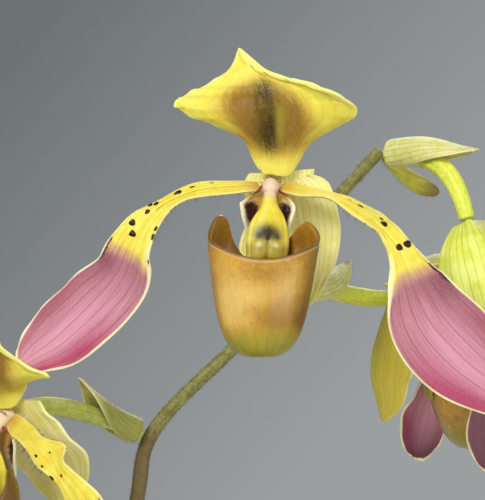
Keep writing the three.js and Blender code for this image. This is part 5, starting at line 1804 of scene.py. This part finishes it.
def chunk(shape, rng, size, spin, centre, steps, skew_seed=None):
    """A bark chunk: a broken block with rounded corners, layered sides and a rough skin."""
    line = np.linspace(-1, 1, steps + 1)
    u, v = np.meshgrid(line, line, indexing="ij")
    flat = np.ones_like(u)
    sides = [(flat, u, v), (-flat, v, u), (v, flat, u), (u, -flat, v), (u, v, flat), (v, u, -flat)]
    phase = rng.uniform(0, 6, 6)
    pale = rng.uniform(0, 0.7)
    for x, y, z in sides:
        cube = np.stack([x, y, z], -1)
        round_share = np.linalg.norm(cube, axis=-1, keepdims=True)
        block = cube / np.maximum(round_share, 1) ** 0.5 * 1.12
        lump = (
            0.09 * np.sin(block[..., 0] * 3.1 + phase[0]) * np.sin(block[..., 1] * 2.7 + phase[1])
            + 0.07 * np.sin(block[..., 2] * 5.3 + phase[2] + block[..., 0] * 2)
            + 0.04 * np.sin(block[..., 0] * 9 + phase[3]) * np.sin(block[..., 1] * 11 + phase[4])
        )
        layer = 0.05 * np.sign(np.sin(block[..., 2] * 7 + phase[5])) * (np.abs(z) < 0.99)
        local = block * (1 + lump + layer)[..., None] * (np.array(size) / 2)
        if skew_seed is not None:
            skew = np.sin(local[..., 0] * 0.17 + local[..., 1] * 0.23 + skew_seed)
            local = local * np.stack([1 + 0.1 * skew, 1 - 0.1 * skew, np.ones_like(skew)], -1)
        place = local @ spin.T + centre
        far = np.linalg.norm(place[..., :2], axis=-1)
        limit = inner_radius(place[..., 2]) - BARK_CLEARANCE
        pull = np.minimum(1, limit / np.maximum(far, 1e-6))
        place[..., :2] *= pull[..., None]
        shape.add(place, [grid_faces(steps, steps)], pale=pale)


def bark(rng):
    """Bark chunks where the part has them, with finer pieces between them, over the plug below."""
    shape = Shape()
    draw = part_random(BARK_SEED)
    golden = math.pi * (3 - math.sqrt(5))

    def spot(radius, angle, height):
        return np.array([radius * math.cos(angle), radius * math.sin(angle), height])

    for number in range(BARK_CHUNKS):
        radius = BARK_SPREAD * math.sqrt((number + 0.5) / BARK_CHUNKS)
        size = [17 + 10 * draw(), 11 + 7 * draw(), 8 + 4 * draw()]
        spin = spun((draw() - 0.5) * 0.7, (draw() - 0.5) * 0.7, draw() * math.pi)
        centre = spot(radius, number * golden, MEDIUM_TOP - 2 + 3 * (draw() - 0.5))
        chunk(shape, rng, size, spin, centre, 12, number)
    for number in range(FINE_CHUNKS):
        radius = FINE_SPREAD * math.sqrt((number + 0.5) / FINE_CHUNKS)
        size = rng.uniform((6, 4, 3.5), (12, 8, 6))
        spin = spun(*rng.uniform(-1.2, 1.2, 3))
        angle = number * golden + rng.uniform(-0.3, 0.3)
        chunk(shape, rng, size, spin, spot(radius, angle, MEDIUM_TOP - 1 + rng.uniform(-2, 3)), 6)
    sides = 96
    turn = ring_angles(sides)
    plug_foot = POT_WALL + 0.5
    outline = [(0.5, plug_foot), (40, plug_foot), (None, POT_WALL + 5), (None, 60), (None, 97), (0.5, 97)]
    rings = []
    for radius, height in outline:
        reach = inner_radius(height) - BARK_CLEARANCE if radius is None else radius
        rings.append(stacked(reach * np.cos(turn), reach * np.sin(turn), height))
    shape.add(np.array(rings), closed_faces(len(rings) - 1, sides), pale=0.1)
    finished("bark_medium", shape, ["bark"])


# Warts: the share along the petal, the side, and half the length and half the width in millimetres
LEFT_WARTS = [
    (0.152, 0.63, 0.75, 0.22),
    (0.198, 0.55, 0.85, 0.25),
    (0.235, 0.48, 1.1, 0.72),
    (0.302, 0.52, 0.75, 0.55),
    (0.318, 0.73, 0.75, 0.5),
    (0.338, 0.38, 0.78, 0.7),
    (0.39, 0.58, 0.95, 0.92),
    (0.417, 0.2, 0.92, 0.95),
    (0.36, -0.88, 0.7, 0.35),
    (0.39, -0.95, 0.85, 0.3),
    (0.465, -0.95, 0.7, 0.2),
]
RIGHT_WARTS = [
    (0.247, -0.55, 0.7, 0.16),
    (0.285, -0.4, 0.9, 0.35),
    (0.383, -0.35, 1.05, 0.9),
    (0.362, -0.48, 0.7, 0.3),
    (0.475, -0.13, 0.95, 0.9),
    (0.478, -0.68, 1.05, 1.0),
]
LOWEST_WARTS = [
    (0.3, 0.5, 0.7, 0.35),
    (0.36, 0.7, 0.7, 0.3),
    (0.42, 0.85, 0.9, 0.35),
    (0.33, -0.3, 0.5, 0.3),
    (0.45, -0.2, 0.6, 0.35),
]


def shut_sepal(pose, name, stations, rng):
    """A sepal of the half-open flower, still green and folded forward."""
    shape = Shape()
    phase = rng.uniform(0, 6)

    def relief(share, side):
        ribs = 0.16 * np.cos(side * math.pi * 5.5) * smooth(share, 0.05, 0.3)
        keel = -0.7 * hump(side, 0, 0.14)
        return ribs + keel + 0.25 * np.abs(side) ** 5 * np.sin(share * 20 + phase)

    def tones(share, side):
        # Painted shade on the right half of the sepal.
        return {"dull": 0.6 * smooth(side, 0.1, 0.5) * np.ones_like(share)}

    blade(shape, stations, SHUT_SEPAL_GRID, SEPAL_THICKNESS, relief, tones)
    finished(name, pose.place(shape), ["young"])


# The bracts of the four flowers, from the lowest joint up
BRACTS = (
    {"upper": [0.1, 0, 1], "reach": 0.44, "rise": 4.6, "free": 0.4, "olive": 0.8, "dry": 0.8},
    {"upper": [0.2, 0, -1], "reach": 0.5, "rise": 5, "olive": 0.2, "dry": 0.4},
    {"upper": [0, 0, 1], "reach": 0.6, "rise": 6, "olive": 0.1, "dry": 0.9},
    {"upper": [0, 0, 1], "reach": 0.8, "rise": 1.6, "free": 1, "belly": 2, "half": 10, "blunt": 0.6},
)


def main():
    seeds = np.random.SeedSequence(SEED)
    streams = iter(np.random.default_rng(seed) for seed in seeds.spawn(STREAMS))
    pot(next(streams))
    bark(next(streams))
    number = 0
    for index, growth in enumerate(GROWTHS):
        crown(f"crown_{index + 1}", growth, next(streams))
        for spec in growth["leaves"]:
            number += 1
            leaf(f"leaf_{number}", leaf_stations(growth, *spec), next(streams))
    scape(next(streams))
    terminal_bud(next(streams))

    lowest = Pose([12.2, -26, 500.9], turn=-44, tilt=20)
    middle = Pose([80, -40, 560])
    right = Pose([119, 38, 530.9], turn=100)
    nodding = Pose([131.4, -18, 549.9], tilt=82, roll=-12)
    heart = Pose(nodding.at, tilt=82, roll=-12, inner=spun(-60 * DEGREE, 0, 0) * HEART_SIZE)

    dorsal_sepal(lowest, "dorsal_sepal_1", hooded(EVEN_DORSAL, 0, 0.62), next(streams), 0.7)
    synsepal(lowest, "synsepal_1", hooded(rolled(EVEN_SYNSEPAL, 1.29, -8), 12), next(streams), 0.7)
    petal(lowest, "petal_left_1", swung(mirrored(RIGHT_PETAL), -4), 1, [], next(streams), 0.7)
    petal(lowest, "petal_right_1", swung(RIGHT_PETAL, -12), -1, LOWEST_WARTS, next(streams), 0.8, 0.6)
    lip(lowest, "lip_1", next(streams), fine=0.6)
    column(lowest, "column_1", next(streams), 0.7)

    dorsal_sepal(middle, "dorsal_sepal_2", DORSAL_SEPAL, next(streams), 1.2)
    synsepal(middle, "synsepal_2", SYNSEPAL, next(streams), 1.1)
    petal(middle, "petal_left_2", LEFT_PETAL, 1, LEFT_WARTS, next(streams), 1.2, 0.475)
    petal(middle, "petal_right_2", RIGHT_PETAL, -1, RIGHT_WARTS, next(streams), 1.2, 0.555)
    lip(middle, "lip_2", next(streams), fine=1.0)
    column(middle, "column_2", next(streams), 1.2)

    dorsal_sepal(right, "dorsal_sepal_3", hooded(rolled(EVEN_DORSAL, 0.66, 30), 66), next(streams), 0.7)
    hanging = bowed(hooded(rolled(EVEN_SYNSEPAL, 1.2, 60, 1), 5, 1.12), 2.6)
    synsepal(right, "synsepal_3", hanging, next(streams), 0.8, 0.9)
    petal(right, "petal_left_3", swept(mirrored(DROOPING_PETAL), 6), 1, [], next(streams), 0.8, plum=0.5)
    petal(right, "petal_right_3", swept(DROOPING_PETAL, -4), -1, [], next(streams), 0.8, plum=0.9)
    lip(right, "lip_3", next(streams), fine=0.6)
    column(right, "column_3", next(streams), 0.7)

    shut_sepal(nodding, "dorsal_sepal_4", SHUT_DORSAL, next(streams))
    shut_sepal(nodding, "synsepal_4", SHUT_SYNSEPAL, next(streams))
    petal(nodding, "petal_left_4", mirrored(SHUT_PETAL), 1, [], next(streams), 0.6, 0.5, 0)
    petal(nodding, "petal_right_4", SHUT_PETAL, -1, [], next(streams), 0.6, 0.5, 0)
    lip(heart, "lip_4", next(streams), 0, 1.3, 0.5)
    column(heart, "column_4", next(streams), 0.5)

    stalks = (
        (lowest, "first", [-0.9, -0.2, 0.4], OVARY_END, 0.2, "olive_stalk"),
        (middle, "third", [0, -1, 0.25], OVARY_END, 0.4, "green_stalk"),
        (right, "second", [0.9, 0.4, 0.15], OVARY_END, 0.4, "green_stalk"),
        (nodding, "last", [0.8, -0.7, -0.2], 2.4, 0.5, "green_stalk"),
    )
    for index, (pose, joint, towards, end, arch, look) in enumerate(stalks):
        line = stalk_line(pose, JOINTS[joint], towards, end, arch)
        ovary(f"ovary_{index + 1}", line, next(streams), look)
        bract(f"bract_{index + 1}", line, next(streams), **BRACTS[index])


# Camera, lights and floor


def studio():
    scene = bpy.context.scene
    scene.view_settings.view_transform = "Standard"
    camera_data = bpy.data.cameras.new("camera")
    camera_data.lens = CAMERA_LENS
    camera_data.sensor_width = SENSOR
    camera_data.clip_start = 0.05
    camera_data.clip_end = 60
    camera = bpy.data.objects.new("camera", camera_data)
    camera.location = Vector(CAMERA_PLACE) * MM
    camera.rotation_euler = (math.pi / 2, 0, 0)
    scene.collection.objects.link(camera)
    scene.camera = camera

    world = bpy.data.worlds.new("studio")
    scene.world = world
    world.use_nodes = True
    nodes, links = world.node_tree.nodes, world.node_tree.links
    heading = nodes.new("ShaderNodeTexCoord")
    rise = nodes.new("ShaderNodeVectorMath")
    rise.operation = "DOT_PRODUCT"
    rise.inputs[1].default_value = BACKDROP_RISE
    links.new(heading.outputs["Generated"], rise.inputs[0])
    level = nodes.new("ShaderNodeMath")
    level.operation = "ADD"
    level.use_clamp = True
    level.inputs[1].default_value = BACKDROP_LEVEL
    links.new(rise.outputs["Value"], level.inputs[0])
    shades = nodes.new("ShaderNodeMix")
    shades.data_type = "RGBA"
    links.new(level.outputs[0], shades.inputs[0])
    shades.inputs[6].default_value = tint(BACKDROP_DARK)
    shades.inputs[7].default_value = tint(BACKDROP_LIGHT)
    links.new(shades.outputs[2], nodes["Background"].inputs[0])

    aim = Vector(LAMP_AIM)
    for name, place, size, power in LAMPS:
        light = bpy.data.lights.new(name, "AREA")
        light.shape = "DISK"
        light.size = size
        light.energy = power
        lamp = bpy.data.objects.new(name, light)
        lamp.location = place
        lamp.rotation_euler = (aim - Vector(place)).to_track_quat("-Z", "Y").to_euler()
        scene.collection.objects.link(lamp)

    look = Look("floor_paper", 0.8)
    paper = look.noise(look.place(), 0.4, 4.0, 0.6)
    look.colour(look.mix(paper, "#d9d8d5", "#e2e1de"))
    floor = Shape()
    sides, rings = 96, 12
    angle = ring_angles(sides)
    radius = np.linspace(1, FLOOR_RADIUS, rings + 1)[:, None]
    points = stacked(radius * np.cos(angle), radius * np.sin(angle), -0.2 + 0 * radius)
    floor.add(points, closed_faces(rings, sides)[:2])
    ground = bpy.data.objects.new("floor", floor.mesh("floor"))
    ground.data.materials.append(look.material)
    scene.collection.objects.link(ground)


studio()
main()
